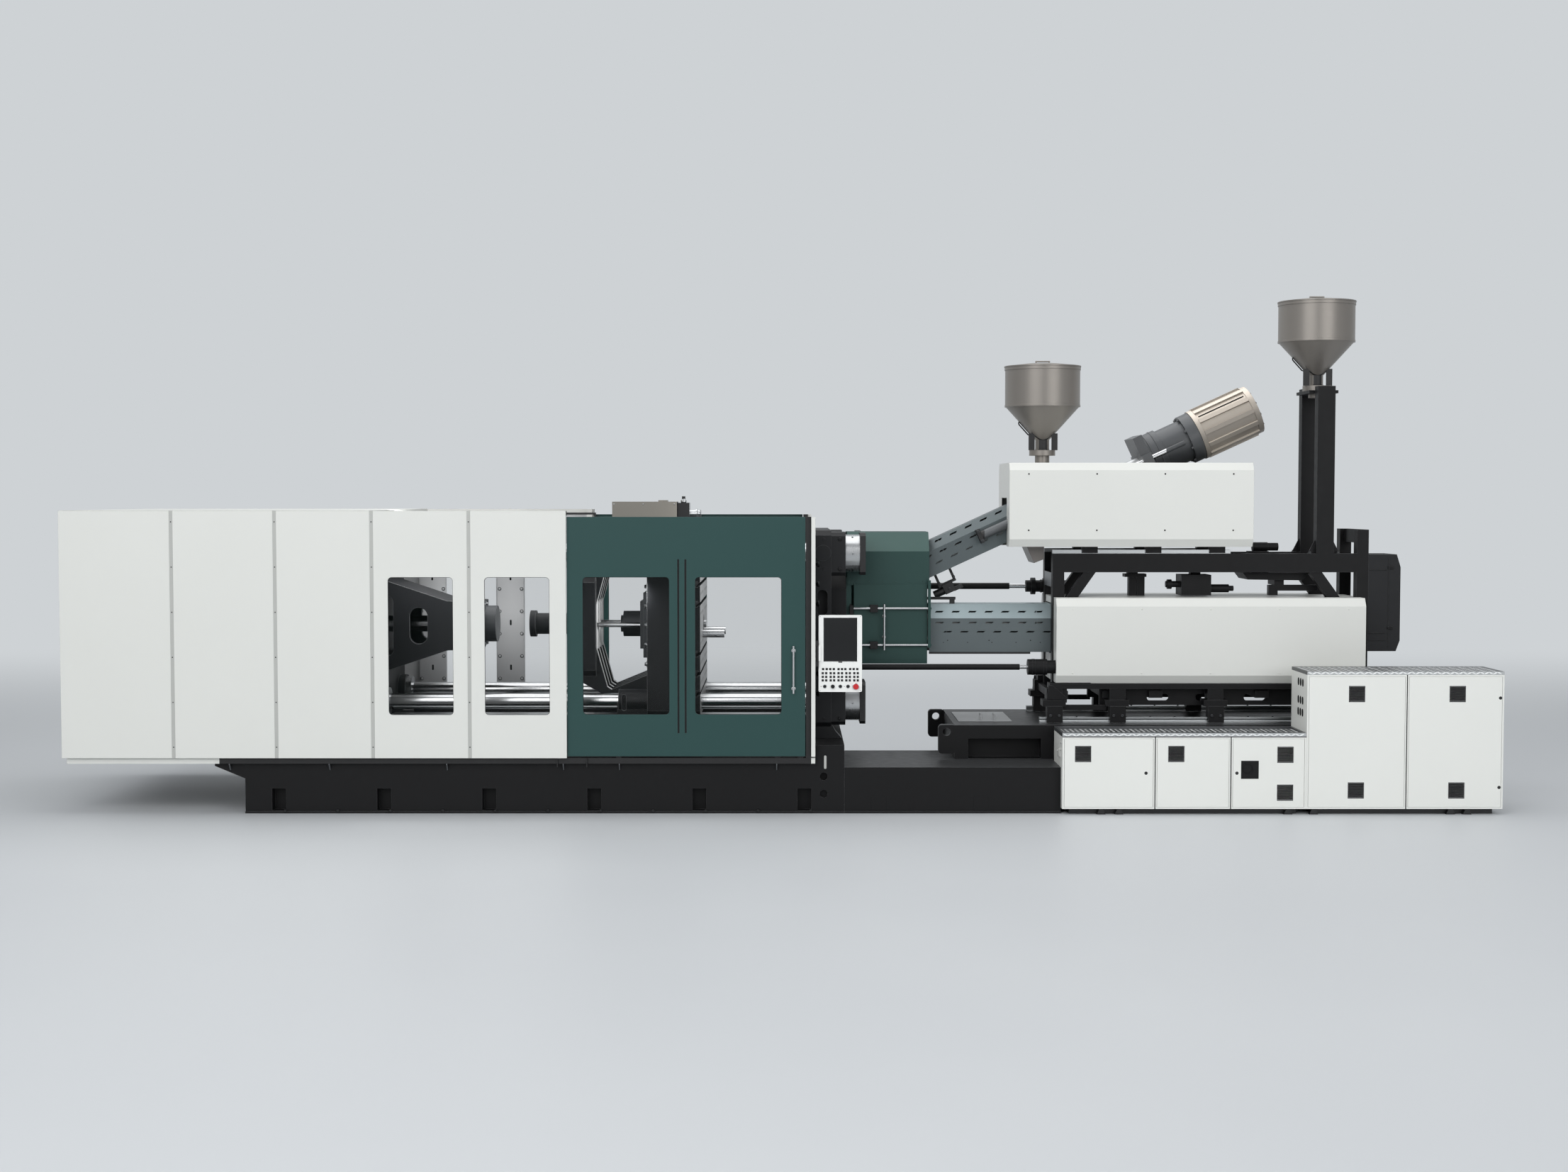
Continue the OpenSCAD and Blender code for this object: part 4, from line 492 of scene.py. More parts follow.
    def worn_and_lit_edge(self, w: Wiring, given: Sockets, where: object) -> Sockets:
        """Draws a piece's edges, where paint wears and where a painted highlight goes; its rounded normal also lets
        light catch them.

        The normal of a slightly rounded edge is dotted with the plain normal. One less that number grows from 0 on
        a flat face towards the edge, and a noise breaks it up.

        Args:
            w: The group's wiring.
            given: The group's inputs.
            where: The place on the piece.

        Returns:
            The group's outputs.
        """
        bevelled = w.add("ShaderNodeBevel", {"samples": 3}, given["Radius"]).outputs[0]
        plain = w.add("ShaderNodeNewGeometry").outputs["Normal"]
        turn = w.maths("SUBTRACT", 1.0, w.measure("DOT_PRODUCT", bevelled, plain))
        chips = w.maths("ADD", w.noise(where, self.CHIP_SCALE, self.CHIP_DETAIL), self.CHIP_LEAST)
        worn = w.maths("MULTIPLY", w.maths("MULTIPLY", turn, self.EDGE_GAIN), chips)
        return {"Edge": w.maths("MINIMUM", worn, 1.0), "Normal": bevelled}


class Paintshop:
    """Makes materials from finishes and puts them on nodes and pieces."""

    BUMP_METRES = 0.0006
    BUMP_STRENGTH = 0.6

    def __init__(self) -> None:
        """Starts with no material made."""
        self.groups = Groups()
        self.made: dict[tuple[Finish, tuple[Patch | Dots, ...]], bpy.types.Material] = {}

    def place(self, w: Wiring, group: str, **inputs: object) -> Sockets:
        """Adds a shared group's node to a material and gives its outputs."""
        return w.add("ShaderNodeGroup", {"node_tree": self.groups.group(group)}, **inputs).outputs

    def layer(self, w: Wiring, finish: Finish) -> list[bpy.types.NodeSocket]:
        """Adds one finish to a material and gives its colour, roughness and height."""
        drawn = self.place(w, finish.skin.value, Colour=linear(finish.colour), Roughness=finish.roughness,
                           Drift=finish.drift)
        return [drawn["Colour"], drawn["Roughness"], drawn["Height"]]

    def material(self, finish: Finish, patches: Patches = ()) -> bpy.types.Material:
        """Gives the material of a finish, with other finishes inside boxes and on spots.

        Args:
            finish: What shows everywhere else.
            patches: Where other finishes show; a later one lies over an earlier one.

        Returns:
            The material, made once for each set.
        """
        key = (finish, tuple(patches))
        if key in self.made:
            return self.made[key]
        material = bpy.data.materials.new(finish.name + ("_patched_%d" % len(self.made) if patches else ""))
        material.use_nodes = True
        w = Wiring(material.node_tree)
        colour, rough, height = self.layer(w, finish)
        metallic: object = finish.metallic
        for patch in patches:
            inside = self.place(w, patch.mask, **patch.values())["Inside"]
            colour2, rough2, height2 = self.layer(w, patch.finish)
            colour = w.blend(inside, colour, colour2)
            rough = w.blend(inside, rough, rough2, colours=False)
            height = w.blend(inside, height, height2, colours=False)
            if isinstance(metallic, bpy.types.NodeSocket) or metallic != patch.finish.metallic:
                metallic = w.blend(inside, metallic, patch.finish.metallic, colours=False)
        # painted light: faces that look up get a lighter colour, standing in for the light that falls on them
        if finish.lift > 0:
            up = w.maths("MAXIMUM", w.shading_up(), 0.0)
            colour = w.scaled(colour, w.maths("ADD", w.maths("MULTIPLY", up, finish.lift), 1.0))
        bump = w.add("ShaderNodeBump", Height=height, Distance=self.BUMP_METRES, Strength=self.BUMP_STRENGTH)
        if finish.rim > 0:
            edge = self.place(w, "worn_and_lit_edge", Radius=finish.rim)
            w.feed(bump, "Normal", edge["Normal"])
            # worn paint and painted highlight: edges are painted towards a pale metal colour
            if finish.edge_wear_and_highlight > 0:
                colour = w.blend(w.maths("MULTIPLY", edge["Edge"], finish.edge_wear_and_highlight), colour, linear(WORN_AND_LIT_EDGE_COLOUR))
        shader = w.add("ShaderNodeBsdfPrincipled", Base_Color=colour, Roughness=rough, Metallic=metallic,
                       Coat_Weight=finish.coat, Specular_IOR_Level=finish.gloss, Normal=bump.outputs[0],
                       Alpha=finish.alpha)
        w.add("ShaderNodeOutputMaterial", Surface=shader.outputs[0])
        self.made[key] = material
        return material

    def dress(self, finish: Finish, *nodes: str, patches: Patches = ()) -> None:
        """Puts a finish on CAD nodes.

        Args:
            finish: The finish.
            *nodes: The nodes' names.
            patches: Where other finishes show.
        """
        material = self.material(finish, patches)
        for name in nodes:
            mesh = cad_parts[name].data
            mesh.materials.clear()
            mesh.materials.append(material)
            log.info("%s wears %s", name, finish.name)


SHOP = Paintshop()


def outward(shape: Mesh) -> Mesh:
    """Turns a closed shape's triangles outwards.

    The sum of each triangle's first corner dotted with the cross product of the other two is six times the volume.
    Where it is below zero, the triangles run the wrong way round.

    Args:
        shape: Points and triangles.

    Returns:
        The same points, with triangles that face outwards.
    """
    points, faces = shape
    a, b, c = points[faces[:, 0]], points[faces[:, 1]], points[faces[:, 2]]
    inside_out = np.einsum("ij,ij->", a, np.cross(b, c)) < 0
    return points, faces[:, ::-1] if inside_out else faces


def loft(rings: np.ndarray) -> Mesh:
    """Joins rings of points into one closed skin.

    Point j of ring i is joined to point j + 1 of the same ring and to the same two of ring i + 1. The first and the
    last ring are closed by a fan about their middle.

    Args:
        rings: An array of rings by points by 3.

    Returns:
        Points and triangles that face outwards.
    """
    count, sides = rings.shape[:2]
    points = np.concatenate([rings.reshape(-1, 3), rings[[0, -1]].mean(axis=1)])
    i, j = np.meshgrid(np.arange(count - 1), np.arange(sides), indexing="ij")
    a, b = (i * sides + j).ravel(), (i * sides + (j + 1) % sides).ravel()
    walls = np.concatenate([np.stack([a, b, b + sides], 1), np.stack([a, b + sides, a + sides], 1)])
    k = np.arange(sides)
    after = (k + 1) % sides
    last = (count - 1) * sides
    start = np.stack([np.full(sides, count * sides), after, k], 1)
    end = np.stack([np.full(sides, count * sides + 1), last + k, last + after], 1)
    return outward((points, np.concatenate([walls, start, end])))


def raised(flat: np.ndarray, z: float) -> np.ndarray:
    """Puts X and Y pairs at one height."""
    return np.column_stack([flat, np.full(len(flat), z)])


def revolve(profile: Sequence[Pair], sides: int) -> Mesh:
    """Turns a profile about the Z axis.

    A point at radius r and height z goes to r cos a, r sin a, z, for equal steps of the angle a.

    Args:
        profile: Radius and height pairs from the bottom up.
        sides: How many steps make the whole turn.

    Returns:
        A closed shape.
    """
    rz = np.asarray(profile, float)
    turn = np.linspace(0, 2 * np.pi, sides, endpoint=False)
    x, y = rz[:, :1] * np.cos(turn), rz[:, :1] * np.sin(turn)
    return loft(np.stack([x, y, np.repeat(rz[:, 1:], sides, axis=1)], axis=-1))


def rounded(half_width: float, half_height: float, corner: float, steps: int = 4) -> np.ndarray:
    """Gives a rectangle's outline with round corners.

    Each corner's middle lies in from both sides by the radius r, and its points go by r cos a and r sin a for equal
    steps of a through a quarter turn.

    Args:
        half_width: Half its size along X.
        half_height: Half its size along Y.
        corner: The radius of the corners.
        steps: How many steps make a quarter circle.

    Returns:
        One row of x, y for each point.
    """
    a = np.arange(4)[:, None] * np.pi / 2 + np.linspace(0, np.pi / 2, steps + 1)
    signs = np.array([[1, 1], [-1, 1], [-1, -1], [1, -1]], float)
    middle = signs * [half_width - corner, half_height - corner]
    return (middle[:, None, :] + corner * np.stack([np.cos(a), np.sin(a)], -1)).reshape(-1, 2)


def pad(width: float, height: float, depth: float, corner: float = 0.004, edge: float = 0.001,
        steps: int = 4) -> Mesh:
    """Makes a plate with round corners and a bevelled edge, its back on Z = 0.

    The rings stand at the back, below the edge and at the front, where the ring is drawn in by the edge.

    Args:
        width: Its size along X.
        height: Its size along Y.
        depth: Its size along Z.
        corner: The radius of the corners.
        edge: The width of the bevel.
        steps: How many steps make a quarter circle.

    Returns:
        A closed shape.
    """
    rings = [raised(rounded(width / 2 - inset, height / 2 - inset, max(corner - inset, 1e-5), steps), z)
             for inset, z in ((0.0, 0.0), (0.0, depth - edge), (edge, depth))]
    return loft(np.stack(rings))


def prism(outline: Sequence[Pair], depth: float, edge: float = 0.001) -> Mesh:
    """Draws an outline out along Z, and narrows it a little at both ends.

    Every point of an end ring lies on the line to the outline's middle, drawn in by the edge.

    Args:
        outline: X and Y pairs round the shape.
        depth: Its size along Z.
        edge: How far the ends are drawn in.

    Returns:
        A closed shape.
    """
    flat = np.asarray(outline, float)
    inward = flat.mean(axis=0) - flat
    inward *= edge / np.linalg.norm(inward, axis=1, keepdims=True)
    rings = [(flat + inward, 0.0), (flat, edge), (flat, depth - edge), (flat + inward, depth)]
    return loft(np.stack([raised(xy, z) for xy, z in rings]))


def tube(path: Sequence[Point], radius: float, sides: int = 10) -> Mesh:
    """Carries a circle along a path.

    At each point the circle lies across the mean of the directions before and after it. Its first axis is the
    direction crossed with a fixed helper, and its second is the direction crossed with the first.

    Args:
        path: The points of the middle line.
        radius: The circle's radius.
        sides: How many points the circle has.

    Returns:
        A closed shape.
    """
    line = np.asarray(path, float)
    along = np.gradient(line, axis=0)
    along /= np.linalg.norm(along, axis=1, keepdims=True)
    first = np.cross(along, HELPER)
    first /= np.linalg.norm(first, axis=1, keepdims=True)
    second = np.cross(along, first)
    turn = np.linspace(0, 2 * np.pi, sides, endpoint=False)[None, :, None]
    return loft(line[:, None, :] + radius * (np.cos(turn) * first[:, None, :] + np.sin(turn) * second[:, None, :]))


# where a shape's own x, y and z go when its +Z is turned to each axis
FACING = {
    "-Y": [[1, 0, 0], [0, 0, -1], [0, 1, 0]],
    "+Z": [[1, 0, 0], [0, 1, 0], [0, 0, 1]],
    "+X": [[0, 0, 1], [1, 0, 0], [0, 1, 0]],
    "-X": [[0, 0, -1], [-1, 0, 0], [0, 1, 0]],
}


def stamp(shape: Mesh, places: object, facing: str = "-Y", spin: float = 0.0) -> Mesh:
    """Copies a shape to many places.

    Args:
        shape: Points and triangles; its own +Z is turned to the facing.
        places: One row of x, y, z for each copy.
        facing: The axis that the shape's +Z points along, a key of FACING.
        spin: How far each copy is first turned about its own Z, in degrees.

    Returns:
        Points and triangles of all the copies.
    """
    points, faces = shape
    c, s = math.cos(math.radians(spin)), math.sin(math.radians(spin))
    turned = points @ (np.asarray(FACING[facing], float) @ [[c, -s, 0], [s, c, 0], [0, 0, 1]]).T
    rows = np.asarray(places, float).reshape(-1, 3)
    steps = np.arange(len(rows)) * len(points)
    return ((rows[:, None, :] + turned[None, :, :]).reshape(-1, 3),
            (faces[None, :, :] + steps[:, None, None]).reshape(-1, 3))


def joined(*shapes: Mesh) -> Mesh:
    """Puts several shapes into one.

    Args:
        *shapes: Points and triangles of each.

    Returns:
        Points and triangles of them all.
    """
    steps = np.cumsum([0] + [len(points) for points, _ in shapes[:-1]])
    return (np.concatenate([points for points, _ in shapes]),
            np.concatenate([faces + step for (_, faces), step in zip(shapes, steps)]))


def mirrored(shape: Mesh) -> Mesh:
    """Gives the shape on the machine's other side, at minus y, with its triangles turned outwards again."""
    points, faces = shape
    return points * [1, -1, 1], faces[:, ::-1]


def both_sides(shape: Mesh) -> Mesh:
    """Joins a shape and its mirror image on the machine's other side."""
    return joined(shape, mirrored(shape))


def up_the_slope(shape: Mesh) -> Mesh:
    """Turns a shape from the inclined axis's own frame into the machine's.

    A point s along the axis and n above it goes to x0 + s cos t - n sin t, and to the axis height + s sin t +
    n cos t.

    Args:
        shape: Points and triangles in the inclined frame.

    Returns:
        Points and triangles in the machine's frame.
    """
    points, faces = shape
    c, s = math.cos(math.radians(TILT_DEGREES)), math.sin(math.radians(TILT_DEGREES))
    along, y, above = points.T
    return np.column_stack([SLOPE_X + along * c - above * s, y, AXIS_Z + along * s + above * c]), faces


def grid(xs: Sequence[float], ys: Sequence[float], zs: Sequence[float]) -> np.ndarray:
    """Gives every combination of the places along X, Y and Z, one row each."""
    return np.stack(np.meshgrid(xs, ys, zs, indexing="ij"), axis=-1).reshape(-1, 3)


def circle(x: float, radius: float, count: int, start: float) -> np.ndarray:
    """Gives places on a circle about the X axis, at equal steps of the angle from the Z axis.

    Args:
        x: Where the circle lies along the axis.
        radius: Its radius.
        count: How many places.
        start: The first place's angle in degrees.

    Returns:
        One row of x, y, z for each place.
    """
    a = np.radians(start + np.arange(count) * 360 / count)
    return np.column_stack([np.full(count, x), radius * np.sin(a), radius * np.cos(a)])


def dome_screw(radius: float) -> Mesh:
    """Makes a round screw head with a socket; the profile rises to a rim, then drops into the socket."""
    r = radius
    return revolve([(r, 0), (r, 0.3 * r), (0.8 * r, 0.62 * r), (0.5 * r, 0.7 * r), (0.42 * r, 0.35 * r)], 12)


def hex_bolt(across: float) -> Mesh:
    """Makes a washer with a six-sided head, turned in steps of a sixth, the head's top bevelled.

    Args:
        across: The head's rough width, to which all else is in proportion.

    Returns:
        A closed washer and a closed head.
    """
    washer = revolve([(0.85 * across, 0), (0.85 * across, 0.14 * across), (0.8 * across, 0.18 * across)], 14)
    head = revolve([(0.56 * across, 0.1 * across), (0.56 * across, 0.6 * across), (0.5 * across, 0.7 * across)], 6)
    return joined(washer, head)


def put(name: str, shape: Mesh, finish: Finish, body: str) -> None:
    """Makes one piece and lets it ride on a body.

    Args:
        name: The piece's name.
        shape: Points and triangles in metres.
        finish: Its finish.
        body: The CAD body it moves with.
    """
    points, faces = shape
    mesh = bpy.data.meshes.new(name)
    mesh.from_pydata(points, [], faces.tolist())
    mesh.update()
    mesh.polygons.foreach_set("use_smooth", np.full(len(mesh.polygons), True))
    mesh.set_sharp_from_angle(angle=math.radians(SMOOTH_DEGREES))
    mesh.materials.append(SHOP.material(finish))
    piece = bpy.data.objects.new(name, mesh)
    bpy.context.scene.collection.objects.link(piece)
    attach(piece, body)
    log.info("%s has %d points and rides on %s", name, len(points), body)


@dataclass(frozen=True)
class Lamp:
    """A square area lamp.

    Attributes:
        name: The lamp's name.
        place: Where it hangs.
        aim: What it points at.
        size: Its side in metres.
        watts: Its power.
        shown: Whether the camera and polished faces show it.
    """

    name: str
    place: Point
    aim: Point
    size: float
    watts: float
    shown: bool = True

    def hang(self) -> None:
        """Adds the lamp to the scene, its Z axis turned away from what it points at."""
        data = bpy.data.lights.new(self.name, "AREA")
        data.size = self.size
        data.energy = self.watts
        lamp = bpy.data.objects.new(self.name, data)
        lamp.location = self.place
        lamp.visible_camera = lamp.visible_glossy = self.shown
        away = lamp.location - type(lamp.location)(self.aim)
        lamp.rotation_euler = away.to_track_quat("Z", "Y").to_euler()
        bpy.context.scene.collection.objects.link(lamp)


@dataclass
class Studio:
    """The floor, the lamps, the world and the camera at the photograph's place.

    Attributes:
        lens_mm: The camera's lens.
        sensor_mm: The width of the picture behind the lens.
        eye: The camera's place in metres.
        down_degrees: How far the camera looks down.
        sight: How far the camera sees, in metres.
        backdrop: The plain colour that shows far from the machine.
        floor_colours: The floor's darkest and lightest colour.
        floor_roughness: The floor's least roughness, and how far it rises.
        cloud_scale: How fine the clouds are that shade the floor.
        front: How far the floor runs towards the camera.
        side: How far it runs to the left and to the right.
        bend_y: Where it starts to turn up behind the machine.
        bend_radius: The radius of that turn.
        top: The height of the backdrop.
        sink: How far the floor lies below the machine's feet.
        fade_back: Where along Y the plain colour starts to show, and where nothing else does.
        fade_round: The same for the distance from the middle.
        sky: The linear colour that the world lights with.
        sky_strength: How strongly the world lights.
        lamps: The lamps.
    """

    lens_mm: float = 45.57
    sensor_mm: float = 36.0
    eye: Point = (0.011, -16.58, 2.483)
    down_degrees: float = 2.587
    sight: float = 300.0
    backdrop: Rgb = (206, 210, 213)
    floor_colours: tuple[Rgb, Rgb] = ((198, 201, 204), (204, 207, 209))
    floor_roughness: Pair = (0.42, 0.1)
    cloud_scale: float = 0.35
    front: float = 60.0
    side: float = 90.0
    bend_y: float = 26.0
    bend_radius: float = 12.0
    top: float = 60.0
    sink: float = 0.0004
    fade_back: Pair = (1.5, 16.0)
    fade_round: Pair = (12.0, 28.0)
    sky: tuple[float, float, float, float] = (0.93, 0.96, 1.0, 1.0)
    sky_strength: float = 0.46
    lamps: tuple[Lamp, ...] = (
        Lamp("key", (-6.0, -14.0, 9.0), (0.0, 0.0, 1.5), 11.0, 980.0),
        Lamp("fill", (9.0, -14.0, 6.0), (2.0, 0.0, 1.5), 9.0, 560.0),
        Lamp("top", (0.0, 1.0, 11.0), (0.0, 0.0, 0.0), 12.0, 760.0),
        Lamp("guard_left", (-2.75, -0.5, 2.2), (-2.75, 1.0, 1.1), 0.95, 24.0, shown=False),
        Lamp("guard_right", (-0.25, -0.6, 2.2), (-1.1, 0.2, 1.2), 0.8, 9.0, shown=False),
        Lamp("platen", (-1.2, -0.78, 1.75), (-1.55, 0.1, 1.3), 0.2, 4.0, shown=False),
    )

    def build(self) -> None:
        """Sets the whole studio up."""
        bpy.context.scene.view_settings.view_transform = "Standard"
        self.camera()
        self.floor()
        self.world()
        for lamp in self.lamps:
            lamp.hang()

    def camera(self) -> None:
        """Places the camera."""
        data = bpy.data.cameras.new("portrait")
        data.sensor_fit = "HORIZONTAL"
        data.sensor_width = self.sensor_mm
        data.lens = self.lens_mm
        data.clip_end = self.sight
        camera = bpy.data.objects.new("portrait", data)
        camera.location = self.eye
        camera.rotation_euler = (math.radians(90 - self.down_degrees), 0, 0)
        bpy.context.scene.collection.objects.link(camera)
        bpy.context.scene.camera = camera

    def floor(self) -> None:
        """Lays the pale floor and raises it to a backdrop far behind.

        The profile runs level, then turns up along a quarter circle, and is drawn out straight along X.
        """
        turn = np.linspace(0, np.pi / 2, 24)
        bend_end = self.bend_y + self.bend_radius
        y = np.concatenate([[-self.front, self.bend_y], self.bend_y + self.bend_radius * np.sin(turn), [bend_end]])
        z = np.concatenate([[0.0, 0.0], self.bend_radius * (1 - np.cos(turn)), [self.top]])
        x = np.array([-self.side, self.side])
        points = np.stack([np.tile(x, len(y)), np.repeat(y, 2), np.repeat(z, 2) - self.sink], axis=-1)
        i = np.arange(len(y) - 1) * 2
        mesh = bpy.data.meshes.new("studio_floor")
        mesh.from_pydata(points, [], np.stack([i, i + 1, i + 3, i + 2], axis=-1).tolist())
        mesh.polygons.foreach_set("use_smooth", np.full(len(mesh.polygons), True))
        mesh.materials.append(self.floor_material())
        floor = bpy.data.objects.new("studio_floor", mesh)
        bpy.context.scene.collection.objects.link(floor)

    def floor_material(self) -> bpy.types.Material:
        """Makes the pale floor, which far from the machine shows as one plain pale colour.

        The share of the plain colour grows with y from the floor's middle to the backdrop, and with the distance
        from the middle on the other sides. It counts for what the camera, a reflection or a pane sees of it.

        Returns:
            The floor's material.
        """
        material = bpy.data.materials.new("studio_floor")
        material.use_nodes = True
        w = Wiring(material.node_tree)
        where = w.add("ShaderNodeTexCoord").outputs["Object"]
        cloud = w.noise(where, self.cloud_scale, 3.0)
        dark, light = self.floor_colours
        least, rise = self.floor_roughness
        shader = w.add("ShaderNodeBsdfPrincipled", Base_Color=w.blend(cloud, linear(dark), linear(light)),
                       Roughness=w.maths("ADD", w.maths("MULTIPLY", cloud, rise), least))
        plain = w.add("ShaderNodeEmission", Color=linear(self.backdrop), Strength=1.0)
        back = w.add("ShaderNodeSeparateXYZ", None, where).outputs[1]
        share: object = 0.0
        for far, (start, end) in ((back, self.fade_back), (w.measure("LENGTH", where), self.fade_round)):
            ramp = w.add("ShaderNodeMapRange", {"interpolation_type": "SMOOTHSTEP"}, far, start, end, 0.0, 1.0)
            share = w.maths("MAXIMUM", share, ramp.outputs[0])
        rays = w.add("ShaderNodeLightPath").outputs
        seen = w.maths("MAXIMUM", rays["Is Camera Ray"],
                       w.maths("MAXIMUM", rays["Is Glossy Ray"], rays["Is Transmission Ray"]))
        mix = w.add("ShaderNodeMixShader", None, w.maths("MULTIPLY", share, seen), shader.outputs[0],
                    plain.outputs[0])
        w.add("ShaderNodeOutputMaterial", Surface=mix.outputs[0])
        return material

    def world(self) -> None:
        """Makes the world, which lights softly and shows the camera and the panes the backdrop's colour."""
        world = bpy.data.worlds.new("studio")
        world.use_nodes = True
        w = Wiring(world.node_tree)
        rays = w.add("ShaderNodeLightPath").outputs
        seen = w.maths("MAXIMUM", rays["Is Camera Ray"], rays["Is Transmission Ray"])
        back = w.add("ShaderNodeBackground", Color=w.blend(seen, self.sky, linear(self.backdrop)),
                     Strength=w.blend(seen, self.sky_strength, 1.0, colours=False))
        w.add("ShaderNodeOutputWorld", Surface=back.outputs[0])
        bpy.context.scene.world = world


@dataclass
class Bases:
    """The clamp base, the injection base and the carriage's bed.

    Attributes:
        side: The place of the beams' front face along Y.
        gusset_xs: Where the gusset plates stand.
    """

    side: float = -1.1
    gusset_xs: tuple[float, ...] = (-4.33, -3.55, -2.63, -1.72, -1.281, -0.05)

    def dress(self) -> None:
        """Paints the bases black and leaves their rails bare."""
        low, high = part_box("clamp_base")
        rails = [Patch((-3.3, y - 0.09, low.z + 0.7185), (high.x, y + 0.09, low.z + 0.7205), RAIL)
                 for y in (-0.5, 0.5)]
        SHOP.dress(BLACK, "clamp_base", patches=rails)
        SHOP.dress(BLACK, "injection_base", patches=[slab(0.3602, 0.37, DECK_TOP)])
        SHOP.dress(BLACK, "carriage_base", patches=[slab(0.6342, 0.64, DECK_TOP)])
        SHOP.dress(RAIL, "carriage_rails")
        SHOP.dress(DECK, "carriage_hatch")
        self.gussets()
        self.bolts()

    def gussets(self) -> None:
        """Adds the small gusset plates that stand under the guards' low rail."""
        points, faces = prism([(0.0, 0.0), (0.042, 0.0), (0.042, 0.008), (0.006, 0.055), (0.0, 0.055)], 0.008)
        out, down, along = points.T
        plate = outward((np.column_stack([along, self.side - 0.0004 - out, 0.3945 - down]), faces))
        row = stamp(plate, [(x, 0.0, 0.0) for x in self.gusset_xs], "+Z")
        put("guard_gussets", both_sides(row), GUSSET, "machine")

    def bolts(self) -> None:
        """Adds the floor flange's anchor bolts, the end block's slot plates, blank plates and the rails' screws."""
        row = stamp(hex_bolt(0.022), grid(np.arange(-4.1, 0.4, 0.412) + 0.2, [-1.106], [0.0151]), "+Z")
        put("base_anchor_bolts", both_sides(row), BLACK, "machine")
        plate = stamp(pad(0.02, 0.105, 0.012, 0.008, 0.002), [(0.334, self.side, 0.402)])
        put("end_block_slot_plates", both_sides(plate), STRIP_GREY, "machine")
        cover = stamp(pad(0.118, 0.116, 0.0012, 0.002, 0.0004), grid([0.755, 1.555], [self.side - 0.0001], [0.0758]))
        put("injection_base_plates", cover, BLANK, "machine")
        screws = stamp(dome_screw(0.008), grid(np.arange(2.2, 5.1, 0.2), [-0.44], [0.6855]), "+Z")
        put("rail_screws", both_sides(screws), KEY_BLACK, "machine")


